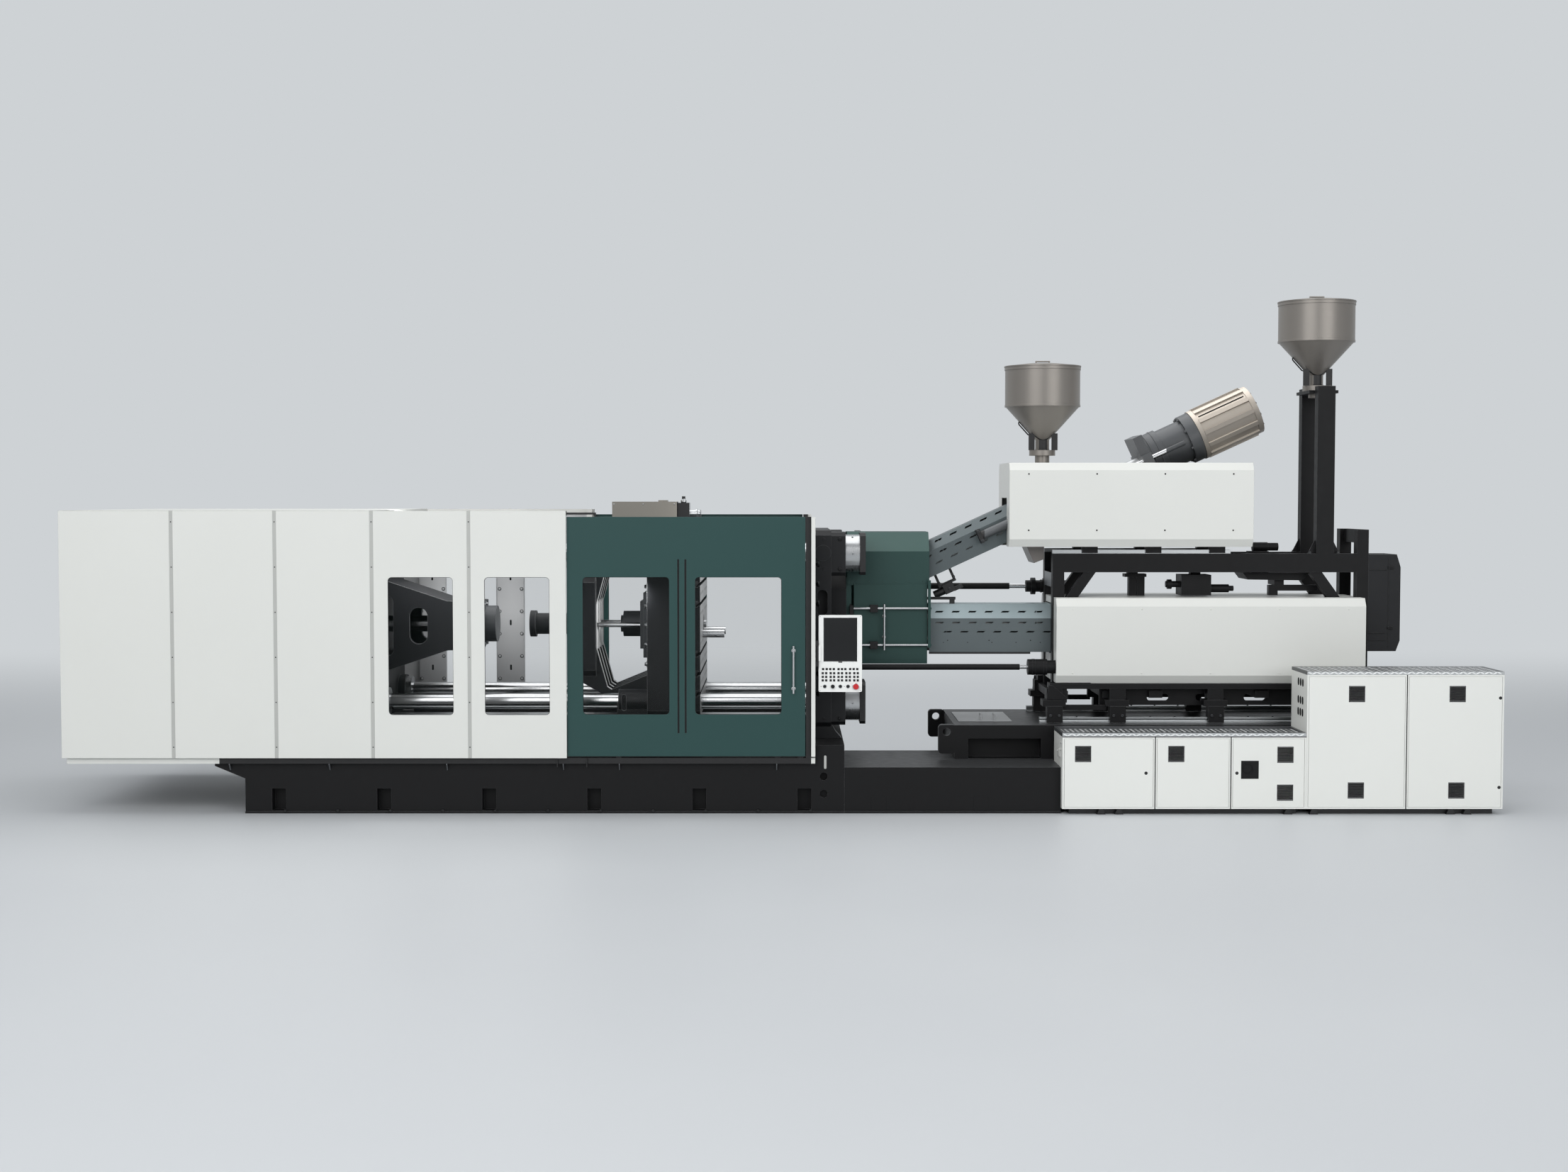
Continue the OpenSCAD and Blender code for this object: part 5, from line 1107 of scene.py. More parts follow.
@dataclass
class Clamp:
    """Platens, tie bars, nuts, ram and ejector.

    Attributes:
        hole_ys: Where the mould face's clamping holes lie along Y.
        hole_offsets: Where they lie above the level axis.
        rib_ys: Where each of the moving platen's ribs starts along Y, towards the operator.
    """

    hole_ys: tuple[float, ...] = (-0.62, -0.47, -0.32, -0.17, 0.17, 0.32, 0.47, 0.62)
    hole_offsets: tuple[float, ...] = (-0.6, -0.44, -0.28, -0.12, 0.12, 0.28, 0.44, 0.6)
    rib_ys: tuple[float, ...] = (-0.33, -0.1333, 0.0633, 0.26)

    def dress(self) -> None:
        """Paints castings black with painted highlights on the moving platen's ribs, and leaves machined faces, bars
        and rods bare.
        """
        SHOP.dress(PLATEN, "moving_platen", patches=[slice_x(-0.662, -0.655, MOULD_FACE)] + self.painted_rib_highlights())
        low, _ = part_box("fixed_platen")
        SHOP.dress(CAST_BLACK, "fixed_platen", patches=[slice_x(low.x - 0.01, low.x + 0.002, MOULD_FACE)])
        SHOP.dress(PLATEN, "rear_platen")
        SHOP.dress(DARK_STEEL, "clamp_cylinder")
        rods = [Patch((-1.6, y - 0.022, AXIS_Z - 0.022), (-1.1625, y + 0.022, AXIS_Z + 0.022), CHROME)
                for y in (-0.165, 0.165)]
        SHOP.dress(DARK_STEEL, "ejector_cylinder", patches=rods)
        SHOP.dress(CHROME, "tie_bars", "ejector_rods")
        _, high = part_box("tie_bar_nuts")
        SHOP.dress(TURNED, "tie_bar_nuts", patches=[slice_x(high.x - 0.0462, high.x + 0.01, BLACK)])
        _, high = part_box("clamp_ram")
        SHOP.dress(CHROME, "clamp_ram", patches=[slice_x(high.x - 0.52, high.x + 0.01, DARK_STEEL)])
        valves = [Patch((x0, -1, 2), (x1, 0, 3), finish)
                  for x0, x1, finish in ((-0.8501, -0.7501, BLACK), (-0.7501, -0.6, TURNED))]
        SHOP.dress(BEIGE, "platen_valve_unit", patches=valves)
        self.platen_bolts()
        self.ring_bolts()
        self.valve_trim()

    def painted_rib_highlights(self) -> list[Patch]:
        """Gives the painted highlights in the moving platen: pale paint on the rib edges and back wall that the light
        falls on.

        Returns:
            The painted highlight on the edge of each rib, and on the back wall's middle between them.
        """
        ribs = [Patch((-1.531, y + 0.001, AXIS_Z - 0.524), (-1.404, y + 0.069, AXIS_Z + 0.524), RIB_HIGHLIGHT)
                for y in self.rib_ys]
        return ribs + [Patch((-1.566, -0.329, AXIS_Z - 0.2), (-1.529, 0.329, AXIS_Z + 0.2), RIB_HIGHLIGHT)]

    def platen_bolts(self) -> None:
        """Adds the rims of the mould face's clamping holes and the bolts that hold the ejector's base."""
        rim = revolve([(0.013, 0), (0.013, 0.0006), (0.012, 0.001), (0.008, 0.001), (0.0076, 0.0002)], 14)
        holes = grid([-0.6605], self.hole_ys, AXIS_Z + np.array(self.hole_offsets))
        put("moving_face_holes", stamp(rim, holes, "+X"), SHADOW, "moving_platen")
        bolts = grid([-1.1182], [-0.24, 0.24], AXIS_Z + np.array([-0.32, -0.16, 0.0, 0.16, 0.32]))
        put("ejector_base_bolts", stamp(hex_bolt(0.03), bolts, "-X"), TURNED, "moving_platen")

    def ring_bolts(self) -> None:
        """Adds bolts round the guide of the clamp ram and on the fixed platen's corner blocks."""
        ring = circle(-2.4945, 0.176, 8, 22.5) + [0, 0, AXIS_Z]
        put("guide_ring_bolts", stamp(hex_bolt(0.026), ring, "+X"), TURNED, "machine")
        sides = grid([0.33, 0.46], [-0.6905], AXIS_Z + np.array([-0.72, -0.48, 0.48, 0.72]))
        put("corner_block_bolts", both_sides(stamp(dome_screw(0.016), sides)), KEY_BLACK, "machine")

    def valve_trim(self) -> None:
        """Adds the valve unit's screws, its coil nut and the small coupling on top of the black block."""
        screws = stamp(dome_screw(0.006), grid([-1.355, -1.12, -0.87], [-0.62], [2.24, 2.42]))
        nut = stamp(revolve([(0.045, 0), (0.045, 0.01), (0.03, 0.02), (0.03, 0.034), (0.036, 0.04)], 16),
                    [(-0.7, -0.52, 2.34)], "+X")
        coupling = stamp(revolve([(0.02, 0), (0.024, 0.006), (0.024, 0.02), (0.016, 0.026), (0.016, 0.032)], 14),
                         [(-0.8, -0.52, 2.431)], "+Z")
        put("valve_unit_trim", joined(screws, nut, coupling), TURNED, "moving_platen")


@dataclass
class Guards:
    """Fixed panels, their frame, sliding doors and the purge guard.

    Attributes:
        joint_xs: Where the screws of the panels' joint strips lie along X.
        post_xs: The middles of the folded posts behind the rear windows.
        post_width: The posts' width.
        post_zs: The heights of the posts' feet and tops.
        window_z: The height of the windows' middle.
        window_half: Half the windows' height.
        lip_inset: How far the windows' rubber lip lies inside the opening.
        lip_corner: The radius of the lip's corners.
        lip_radius: The radius of the lip itself.
        bar_x: The purge guard's bar along X.
    """

    joint_xs: tuple[float, ...] = (-4.747, -3.944, -3.192, -2.437)
    post_xs: tuple[float, ...] = (-3.12, -2.4235)
    post_width: float = 0.245
    post_zs: Pair = (0.4312, 2.32)
    window_z: float = 1.318
    window_half: float = 0.537
    lip_inset: float = 0.0016
    lip_corner: float = 0.028
    lip_radius: float = 0.0014
    bar_x: float = 0.831

    def dress(self) -> None:
        """Paints panels white and doors green, then adds the small pieces."""
        self.dress_frame()
        inner = [Patch((-FAR, y0, 0.4), (-1.7, y1, 2.368), INNER_GREY) for y0, y1 in ((-1.1785, -1.15), (1.15, 1.1785))]
        SHOP.dress(WHITE, "guard_panels", patches=inner)
        handles = [Patch((0.07, y0, 0.9), (0.1, y1, 1.4), CHROME) for y0, y1 in ((-1.2, -1.1502), (1.1502, 1.2))]
        grooves = [Patch((x - 0.0071, -FAR, 0.6359), (x + 0.0071, FAR, 1.9931), SHADOW) for x in (-0.812, -0.756)]
        SHOP.dress(GREEN, "front_door", "rear_door", patches=handles + [slab(0.0, 0.4538, BLACK)] + grooves)
        SHOP.dress(PANE, "guard_panes", "front_door_panes", "rear_door_panes")
        self.dress_purge_guard()
        self.inner_posts()
        self.gaskets()
        self.handle_feet()

    def dress_frame(self) -> None:
        """Paints the guards' frame grey, its low rail black and white, and its end posts dark and white."""
        low_rail = Patch((-FAR, -FAR, 0.0), (0.2, FAR, 0.4401), BLACK)
        free_rail = Patch((-FAR, -FAR, 0.0), (-4.402, FAR, 0.4401), WHITE)
        dark = slice_x(0.182, 0.2235, BLACK)
        white = Patch((0.2235, -FAR, 0.4), (0.2549, FAR, FAR), WHITE)
        bracket = slice_x(0.2549, 0.4, BLACK)
        hook = Patch((-1.682, -FAR, 2.326), (-1.45, FAR, 2.37), BLACK)
        screws = [Dots((x, y, 0.529), (0.0, 0.0, 0.3512), 6, 0.005, SHADOW)
                  for x in self.joint_xs for y in (-1.18, 1.18)]
        SHOP.dress(STRIP_GREY, "guard_frame", patches=[low_rail, free_rail, dark, white, bracket, hook] + screws)

    def dress_purge_guard(self) -> None:
        """Paints the purge guard green, with painted light on its top bevel, and leaves its rods and its bar bright."""
        rods = Patch((0.582, -0.357, 1.2), (1.19, -0.333, 1.6), CHROME)
        bracket = Patch((0.549, -0.37, 1.2), (0.5805, -0.30, 1.6), BLACK)
        # painted light: the top bevel is painted a lighter green than the rest of the guard
        bevel = Patch((-FAR, -0.3099, 2.0325), (FAR, -0.181, FAR), PURGE_LIT_GREEN)
        SHOP.dress(PURGE_GREEN, "purge_guard", patches=[rods, bracket, bevel])
        bush = Patch((0.715, -0.5, 1.0), (0.7795, -0.3161, 1.8), BLACK)
        bar = Patch((0.815, -0.5, 1.0), (0.85, -0.3161, 1.8), CHROME)
        SHOP.dress(PURGE_GREEN, "purge_door", patches=[bush, bar])

    def inner_posts(self) -> None:
        """Adds the grey folded posts behind the rear windows, with their bolts and slots."""
        width = self.post_width
        foot, head = self.post_zs
        post = prism([(0.0, 0.0), (0.004, -0.02), (0.018, -0.026), (width - 0.018, -0.026), (width - 0.004, -0.02),
                      (width, 0.0)], head - foot, 0.0006)
        posts = stamp(post, [(x - width / 2, 1.099, foot) for x in self.post_xs], "+Z")
        bolts = grid([x + off for x in self.post_xs for off in (-0.098, 0.098)], [1.0725], np.arange(0.86, 2.0, 0.2))
        put("rear_guard_posts", joined(posts, stamp(dome_screw(0.011), bolts)), INNER_GREY, "machine")
        slots = stamp(pad(0.016, 0.05, 0.0015, 0.0078, 0.0005),
                      grid(self.post_xs, [1.0727], np.arange(0.96, 2.0, 0.4)))
        washers = stamp(revolve([(0.016, 0), (0.016, 0.0012), (0.013, 0.0016)], 12), bolts + [0, 0.0002, 0])
        put("rear_guard_post_slots", joined(slots, washers), SHADOW, "machine")

    def gaskets(self) -> None:
        """Adds the thin rubber lips round the windows, just inside each opening."""
        sets = (("guard_window_gaskets", "machine", (-2.815, -2.065), 0.505, -1.172),
                ("door_window_gaskets", "front_door", (-1.22, -0.345), 0.673, -1.142))
        for name, body, middles, width, y in sets:
            ring = rounded(width / 2 - self.lip_inset, self.window_half - self.lip_inset, self.lip_corner)
            across, up = np.vstack([ring, ring[:1]]).T
            path = np.column_stack([across, np.full(len(up), y), self.window_z + up])
            lips = joined(*(tube(path + [x, 0, 0], self.lip_radius, 6) for x in middles))
            if body == "machine":
                put(name, both_sides(lips), KEY_BLACK, body)
            else:
                put(name, lips, KEY_BLACK, body)
                put("rear_" + name, mirrored(lips), KEY_BLACK, "rear_door")

    def handle_feet(self) -> None:
        """Adds the collars at the feet of the door handles and of the purge guard's bar, and the hood's rivets."""
        collar = revolve([(0.016, 0), (0.016, 0.003), (0.011, 0.006), (0.008, 0.007)], 16)
        feet = stamp(collar, grid([0.085], [-1.1501], [0.985, 1.281]))
        put("front_handle_feet", feet, CHROME, "front_door")
        put("rear_handle_feet", mirrored(feet), CHROME, "rear_door")
        caps = stamp(revolve([(0.0115, 0), (0.0115, 0.004), (0.009, 0.006)], 14), [(self.bar_x, -0.371, 1.595)], "+Z")
        ends = stamp(collar, grid([self.bar_x], [-0.3162], [1.33, 1.5]))
        put("purge_bar_feet", joined(caps, ends), CHROME, "purge_door")
        # the rivets take the purge guard's painted lit green
        rivets = stamp(dome_screw(0.005), grid(np.arange(0.6, 1.18, 0.11), [-0.3101], [1.785]))
        put("purge_hood_rivets", both_sides(rivets), PURGE_LIT_GREEN, "machine")


HOPPERS = {"hopper_1": (2.163, 2.766), "hopper_2": (4.438, 3.3)}     # each hopper's middle and foot, along X and Z


def sight_bar(hopper: str, body: str) -> None:
    """Adds a hopper's sight bar, which runs down the left of its cone on two bent feet.

    The cone's radius grows evenly with height. The bar keeps a fixed distance from it, and both ends turn in.

    Args:
        hopper: The hopper's name, a key of HOPPERS.
        body: The body that carries the hopper.
    """
    x, z = HOPPERS[hopper]

    def beside(height: float, off: float) -> Point:
        """Gives a place beside the cone at a height over the foot, off its surface."""
        radius = 0.058 + (height - 0.186) * 0.9
        return x - radius - off * 0.743, 0.0, z + height - off * 0.669

    bends = ((0.335, -0.004), (0.333, 0.01), (0.325, 0.016), (0.24, 0.016), (0.232, 0.01), (0.23, -0.004))
    handle = tube([beside(height, off) for height, off in bends], 0.0055, 10)
    pane = tube([beside(0.34, 0.0008), beside(0.225, 0.0008)], 0.004, 8)
    put(hopper + "_sight_bar", joined(handle, pane), BLACK, body)


@dataclass
class Injection:
    """The main unit, its carriage and the raised frame.

    Attributes:
        cylinder_front: The front pull cylinder's middle along Y and Z.
        cylinder_back: The rear pull cylinder's middle along Y and Z.
    """

    cylinder_front: Pair = (-0.4, 1.09)
    cylinder_back: Pair = (0.4, 1.716)

    def dress(self) -> None:
        """Paints covers white and frames black, and leaves rods bright."""
        SHOP.dress(BLACK, "carriage_frame", "mezzanine_valves")
        rails = [Patch((-FAR, y - 0.03, 2.0131), (3.69, y + 0.03, 2.05), RAIL) for y in (-0.2515, 0.2515)]
        cross = Patch((2.2155, -0.21, 1.73), (2.2175, 0.21, 1.86), RIB_GREY)
        SHOP.dress(BLACK, "mezzanine_frame", patches=rails + [cross])
        SHOP.dress(WHITE, "main_cover")
        SHOP.dress(BAND, "main_barrel")
        top = Patch((-FAR, -0.101, 1.592), (1.45, -0.06, 1.7), BLACK)
        ticks = [Dots((1.33, -0.19, 1.275), (0.2005, 0.0, 0.0), 5, 0.0045, SHADOW),
                 Dots((1.365, -0.19, 1.292), (0.343, 0.0, 0.0), 3, 0.0055, SHADOW)]
        # painted light: the cover's bevel and top are painted lighter than its sides
        SHOP.dress(BARREL_GREY, "barrel_cover", patches=[slab(-FAR, 1.1959, BLACK), top] + ticks)
        SHOP.dress(DARK_STEEL, "main_drive")
        SHOP.dress(TURNED, "main_screw")
        front = Patch((-FAR, -0.5, 1.0), (2.0008, -0.3, 1.2), CHROME)
        back = Patch((-FAR, 0.3, 1.6), (2.0788, 0.5, 1.9), CHROME)
        SHOP.dress(BLACK, "pull_rods", patches=[front, back])
        SHOP.dress(BLACK, "carriage_cylinders")
        SHOP.dress(ELECTRIC, "electric_box")
        legs = [Patch((x - 0.13, -0.0602, z + 0.1001), (x + 0.13, -0.0475, z + 0.24), BLACK)
                for x, z in HOPPERS.values()]
        SHOP.dress(HOPPER, "hopper_1", "hopper_2", "hopper_1_lid", "hopper_2_lid", patches=legs)
        self.cover_screws()
        self.box_trim()
        self.frame_bolts()
        sight_bar("hopper_2", "carriage")

    def cover_screws(self) -> None:
        """Adds the small screws along the main cover's upper and lower edges."""
        screws = stamp(dome_screw(0.0055), grid(np.linspace(2.36, 4.6, 5), [-0.48], [1.045, 1.565]))
        put("main_cover_screws", both_sides(screws), CABINET, "carriage")

    def box_trim(self) -> None:
        """Adds the electric box's lid seam, latches, hinges and ribs."""
        seam = stamp(pad(0.007, 0.74, 0.004, 0.003, 0.001), [(4.975, -0.3, 1.61)])
        latches = stamp(pad(0.045, 0.026, 0.014, 0.006, 0.003), grid([4.99], [-0.3], [1.9, 1.405]))
        hinges = stamp(pad(0.05, 0.05, 0.012, 0.006, 0.003), grid([5.0598], [-0.1], [1.86, 1.43]), "+X")
        ribs = stamp(pad(0.15, 0.01, 0.004, 0.004, 0.0015), grid([4.886], [-0.3], [1.3, 1.36, 1.88]))
        put("electric_box_trim", joined(seam, latches, hinges, ribs), BLACK, "carriage")

    def frame_bolts(self) -> None:
        """Adds bolts at the pedestal's feet and on the carriage's feet, and bands round the pull cylinders."""
        feet = stamp(hex_bolt(0.024), grid([4.335, 4.565], [-0.262], [2.0131]), "+Z")
        shoes = stamp(dome_screw(0.013),
                      grid([2.18, 2.25, 2.694, 2.764, 3.493, 3.563, 4.628, 4.698], [-0.4901], [0.7]))
        put("frame_bolts", both_sides(joined(feet, shoes)), DARK_STEEL, "carriage")
        front = stamp(revolve([(0.058, 0), (0.066, 0.006), (0.066, 0.03), (0.058, 0.036)], 32),
                      [(x, *self.cylinder_front) for x in (2.03, 2.12)], "+X")
        back = stamp(revolve([(0.05, 0), (0.056, 0.006), (0.056, 0.02), (0.05, 0.026)], 32),
                     [(x, *self.cylinder_back) for x in (2.2, 2.3)], "+X")
        put("cylinder_bands", joined(front, back), BLACK, "carriage")


@dataclass
class UpperUnit:
    """The inclined unit: sled, cover, barrel, gearbox and motor.

    Attributes:
        motor_x0: The motor's lower end along the inclined axis.
        motor_x1: Its upper end.
        motor_radius: Its radius, a little proud of the shell.
        groove_degrees: Its grooves' angles from straight up.
    """

    motor_x0: float = 3.752
    motor_x1: float = 4.274
    motor_radius: float = 0.2004
    groove_degrees: tuple[int, ...] = (-124, -118, -46, 46, 118, 124)

    def dress(self) -> None:
        """Paints the cover white, the gearbox dark and the motor beige, with painted light on the gearbox's and the
        motor's tops.
        """
        SHOP.dress(BLACK, "upper_sled")
        chute = Patch((2.005, -0.2, 1.9), (2.18, 0.2, 2.0709), CHUTE)
        SHOP.dress(WHITE, "upper_cover", patches=[chute])
        bars = [Patch((x0, y - 0.021, 2.5), (x1, y + 0.021, 3.2), finish)
                for y in (-0.236, 0.236) for x0, x1, finish in ((2.4, 3.15, CHROME), (3.15, 4.0, GEARBOX))]
        side = Patch((1.5, -0.3, 1.9), (2.2, -0.1901, 2.5), MID_GREY)
        clamp = Patch((1.55, -0.3, 2.0), (1.66, -0.1901, 2.25), BLACK)
        actuator = Patch((1.15, -0.06, 1.55), (1.56, 0.06, 1.90), BLACK)
        SHOP.dress(BAND, "upper_barrel", patches=bars + [side, clamp, actuator])
        SHOP.dress(UPPER_GREY, "upper_barrel_cover")
        SHOP.dress(TURNED, "upper_screw")
        SHOP.dress(GEARBOX, "upper_gearbox")
        SHOP.dress(MOTOR, "upper_motor")
        screws = stamp(dome_screw(0.0065), grid([2.005, 2.56, 3.115, 3.672], [-0.4], [2.206, 2.665]))
        put("upper_cover_screws", both_sides(screws), SHADOW, "upper_unit")
        sight_bar("hopper_1", "upper_unit")
        self.motor_trim()
        self.actuator_trim()

    def motor_trim(self) -> None:
        """Adds the motor's dark grooves, its end plate and bolts, the flange bolts and the gearbox's ribs."""
        grooves = []
        for a in np.radians(self.groove_degrees):
            y, above = self.motor_radius * np.sin(a), self.motor_radius * np.cos(a)
            grooves.append(tube([(self.motor_x0 + 0.055, y, above), (self.motor_x1 - 0.06, y, above)], 0.006, 8))
        put("motor_grooves", up_the_slope(joined(*grooves)), SHADOW, "upper_drive")
        bolts = stamp(hex_bolt(0.022), circle(3.6605, 0.192, 8, 22.5), "-X")
        ends = stamp(dome_screw(0.01), circle(self.motor_x1 + 0.0001, 0.19, 12, 15.0), "+X")
        plate = stamp(revolve([(0.15, 0), (0.15, 0.004), (0.14, 0.008), (0.05, 0.008), (0.04, 0.006)], 32),
                      [(self.motor_x1, 0, 0)], "+X")
        put("motor_bolts", up_the_slope(joined(bolts, ends, plate)), GEARBOX, "upper_drive")
        rib = revolve([(0.19, 0), (0.194, 0.003), (0.194, 0.011), (0.19, 0.014)], 48)
        ribs = stamp(rib, [(3.33, 0, 0), (3.39, 0, 0)], "+X")
        put("gearbox_ribs", up_the_slope(ribs), GEARBOX, "upper_drive")

    def actuator_trim(self) -> None:
        """Adds the pins of the shut-off actuator's links and the clamp screws of the side cylinder."""
        pins = stamp(hex_bolt(0.016), [(1.297, -0.0201, -0.225), (1.43, -0.0201, -0.225), (1.357, -0.0451, -0.3),
                                       (1.44, -0.0181, -0.324)])
        clamp = stamp(hex_bolt(0.018), grid([1.7545], [-0.2741], [0.045, -0.04]))
        put("actuator_pins", up_the_slope(joined(pins, clamp)), DARK_STEEL, "upper_unit")


@dataclass
class OperatorPanel:
    """The swivelling panel with its screen, keys and buttons.

    Attributes:
        left: The housing's left side along X.
        face: Its front face along Y.
        button_z: The height of the buttons.
        screen: The screen's left, right, lower and upper edge.
    """

    left: float = 0.281
    face: float = -1.154
    button_z: float = 1.002
    screen: tuple[float, float, float, float] = (0.3182, 0.5818, 1.1962, 1.5398)

    def dress(self) -> None:
        """Gives the housing its pale plastic and the keys their black."""
        keys = Patch((0.2, -1.2, 1.038), (0.7, -1.15405, 1.19), KEY_BLACK)
        arm = Patch((0.25, -1.2, 1.1), (0.2809, -1.1, 1.4), BLACK)
        SHOP.dress(PLASTIC, "hmi_housing", patches=[keys, arm])
        SHOP.dress(SCREEN, "hmi_screen")
        SHOP.dress(RED, "e_stop")
        SHOP.dress(KEY_BLACK, "selector_knob", "button_left", "button_middle", "button_right")
        self.trim()

    def trim(self) -> None:
        """Adds the corner screws, the tab under the screen, the lamps, the button rings and the screen's lip."""
        screws = stamp(dome_screw(0.0035), grid([0.292, 0.608], [self.face], [0.97, 1.548]))
        put("panel_screws", screws, TURNED, "operator_panel")
        tab = stamp(pad(0.03, 0.008, 0.0024, 0.002, 0.0008), [(0.45, self.face, 1.1925)])
        lamps = stamp(dome_screw(0.0028), grid([0.3, 0.481], [self.face], [self.button_z]))
        put("panel_marks", joined(tab, lamps), KEY_BLACK, "operator_panel")
        x0, x1, z0, z1 = self.screen
        lip = [(x, self.face, z) for x, z in ((x0, z0), (x1, z0), (x1, z1), (x0, z1), (x0, z0))]
        sides = [tube([a, b], 0.0013, 6) for a, b in zip(lip[:-1], lip[1:])]
        put("panel_screen_lip", joined(*sides), PLASTIC, "operator_panel")
        ring = revolve([(0.0155, 0), (0.0155, 0.001), (0.0145, 0.0018), (0.0122, 0.0018), (0.0118, 0.0004)], 24)
        rings = stamp(ring, [(self.left + x, self.face, self.button_z) for x in (0.048, 0.169, 0.229)])
        collar = revolve([(0.027, 0), (0.027, 0.0015), (0.025, 0.0024), (0.0145, 0.0024), (0.0135, 0.0006)], 28)
        stop = stamp(collar, [(self.left + 0.29, self.face, self.button_z)])
        put("panel_button_rings", joined(rings, stop), TURNED, "operator_panel")


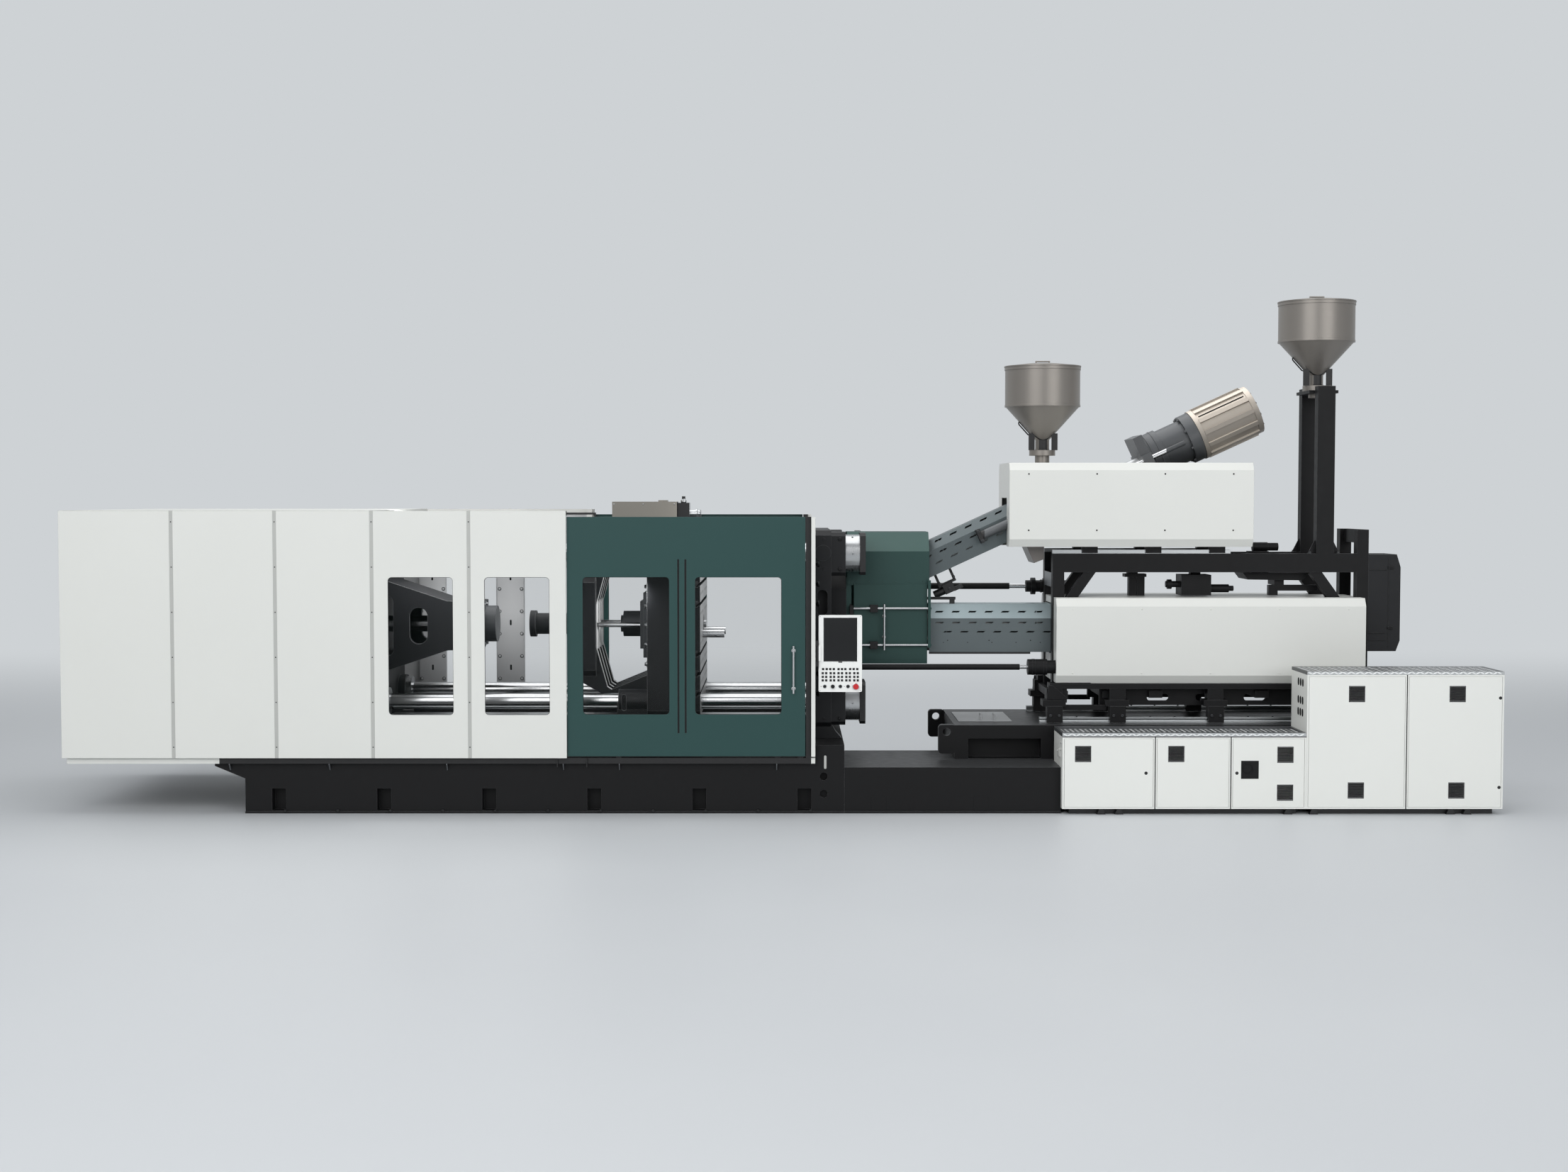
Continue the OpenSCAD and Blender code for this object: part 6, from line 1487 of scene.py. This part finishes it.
@dataclass
class Cabinets:
    """The low and tall electric cabinets and their doors.

    Attributes:
        front: The place of the checker plate's front edge along Y.
        vents: The vents' middles along X and Z.
        vent_half: Half a vent's side.
        locks: The locks' middles along X and Z.
        lock_radius: The locks' radius.
        seam_half: Half the width of the gap between two doors.
        edge_pitch: From one raised mark to the next on the checker plate's front edge.
        top_pitch: The same on its top.
    """

    front: float = -1.1755
    vents: tuple[Pair, ...] = (
        (2.343, 0.476), (3.070, 0.476), (3.921, 0.470), (3.921, 0.173),
        (4.473, 0.945), (4.473, 0.190), (5.257, 0.945), (5.257, 0.190))
    vent_half: float = 0.0635
    locks: tuple[Pair, ...] = ((2.835, 0.326), (3.544, 0.326), (5.591, 0.914), (5.59, 0.214))
    lock_radius: float = 0.013
    seam_half: float = 0.0042
    edge_pitch: float = 0.0335
    top_pitch: float = 0.04

    def dress(self) -> None:
        """Paints the cabinets white, their tops as checker plate and their vents dark grey."""
        gap, half = self.seam_half, self.vent_half
        seams = [Patch((x - gap, -FAR, 0.0), (x + gap, FAR, 1.2), SHADOW) for x in self.seams()]
        marks: list[Patch | Dots] = []
        for x, z in self.vents:
            foot = z - half
            marks.append(Patch((x - half, -1.19, foot), (x + half, -1.176, z + half), VENT))
            # painted highlight: a thin pale line across each vent's lower lip
            marks.append(Patch((x - half, -1.19, foot + 0.009), (x + half, -1.1792, foot + 0.0115), VENT_LIP_HIGHLIGHT))
        marks += [Dots((x, -1.18, z), (1.0, 0.0, 0.0), 1, self.lock_radius, SHADOW) for x, z in self.locks]
        SHOP.dress(CABINET, "low_door_left", "low_door_middle", "low_door_right", "tall_door_left",
                   "tall_door_right", patches=marks + seams)
        plinth = slab(-1.0, 0.0449, BLACK)
        shade = Patch((-FAR, -FAR, 0.6062), (FAR, self.front, 0.612), SHADOW)
        for name, z0, z1, more in (("low_cabinet", 0.6082, 0.7, [shade]), ("tall_cabinet", 1.0942, 1.2, [])):
            edge = Patch((-FAR, -FAR, z0), (FAR, self.front, z1), TREAD_EDGE)
            SHOP.dress(CABINET, name, patches=seams + [plinth, slab(z0, z1, CHECKER), edge] + more)
        self.tread("low_cabinet_tread", (2.182, 4.085), 0.624, 0.628, (-1.1, -0.8))
        self.tread("tall_cabinet_tread", (4.0853, 5.62), 1.107, 1.12, (-1.15, -0.75))
        self.side_vents()
        self.socket()

    def seams(self) -> list[float]:
        """Finds where one door ends and the next begins.

        Returns:
            The places along X.
        """
        pairs = (("low_door_left", "low_door_middle"), ("low_door_middle", "low_door_right"),
                 ("tall_door_left", "tall_door_right"))
        return [(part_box(left)[1].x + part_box(right)[0].x) / 2 for left, right in pairs]

    def lozenge(self, length: float, width: float, height: float) -> Mesh:
        """Makes one raised mark of the checker plate.

        Each ring is an ellipse, smaller the higher it stands.

        Args:
            length: Its long axis.
            width: Its short axis.
            height: How far it stands up.

        Returns:
            A closed shape.
        """
        a = np.linspace(0, 2 * np.pi, 8, endpoint=False)
        ellipse = np.column_stack([length / 2 * np.cos(a), width / 2 * np.sin(a)])
        return loft(np.stack([raised(k * ellipse, z) for k, z in ((1.0, 0.0), (0.75, height * 0.7), (0.3, height))]))

    def tread(self, name: str, ends: Pair, edge_z: float, top_z: float, depth: Pair) -> None:
        """Covers a cabinet's front edge and top with raised marks that lean one way and the other in turn.

        Args:
            name: The piece's name.
            ends: The top's left and right end.
            edge_z: The middle of the front edge.
            top_z: The height of the top's surface.
            depth: The range along Y that the marks cover on the top.
        """
        left, right = ends
        mark = self.lozenge(0.044, 0.0135, 0.0034)
        xs = np.arange(left + 0.024, right - 0.022, self.edge_pitch)
        front = [stamp(mark, grid(xs[i::2], [-1.176], [edge_z]), "-Y", lean) for i, lean in enumerate((-24.0, 24.0))]
        flat_mark = self.lozenge(0.034, 0.01, 0.0016)
        xs = np.arange(left + 0.03, right - 0.03, self.top_pitch)
        ys = np.arange(*depth, self.top_pitch)
        top = [stamp(flat_mark, grid(xs[i::2], ys, [top_z]), "+Z", lean) for i, lean in enumerate((-45.0, 45.0))]
        put(name, joined(*front, *top), TREAD, "machine")

    def side_vents(self) -> None:
        """Adds the three rows of oval vents on the tall cabinet's side and the bracket on the low one's."""
        oval = pad(0.042, 0.062, 0.002, 0.0205, 0.0008, 6)
        places = grid([4.0853], [-1.046, -0.981, -0.916], [1.021, 0.88, 0.785])
        put("tall_cabinet_side_vents", stamp(oval, places, "-X"), SHADOW, "machine")
        bracket = stamp(pad(0.045, 0.07, 0.014, 0.01, 0.002), [(2.1825, -1.03, 0.47)], "-X")
        bolts = stamp(hex_bolt(0.014), [(2.168, -1.03, 0.485), (2.182, -1.1, 0.5), (2.182, -1.1, 0.56)], "-X")
        put("low_cabinet_bracket", joined(bracket, bolts), STRIP_GREY, "machine")

    def socket(self) -> None:
        """Adds the round socket on its dark plate in the right low door."""
        plate = stamp(pad(0.146, 0.15, 0.004, 0.004, 0.001), [(3.645, -1.1705, 0.352)])
        ring = revolve([(0.043, 0), (0.043, 0.004), (0.04, 0.0048), (0.034, 0.0048), (0.033, 0.0), (0.033, -0.001),
                        (0.012, -0.001)], 32)
        put("door_socket_plate", plate, BLANK, "low_door_right")
        put("door_socket", stamp(ring, [(3.63, -1.1742, 0.362)]), SHADOW, "low_door_right")


def main() -> None:
    """Builds the studio, then dresses each sub-assembly in order."""
    logging.basicConfig(level=logging.INFO, format="%(message)s")
    Studio().build()
    for part in (Bases(), Clamp(), Guards(), Injection(), UpperUnit(), OperatorPanel(), Cabinets()):
        part.dress()


if __name__ == "__main__":
    main()
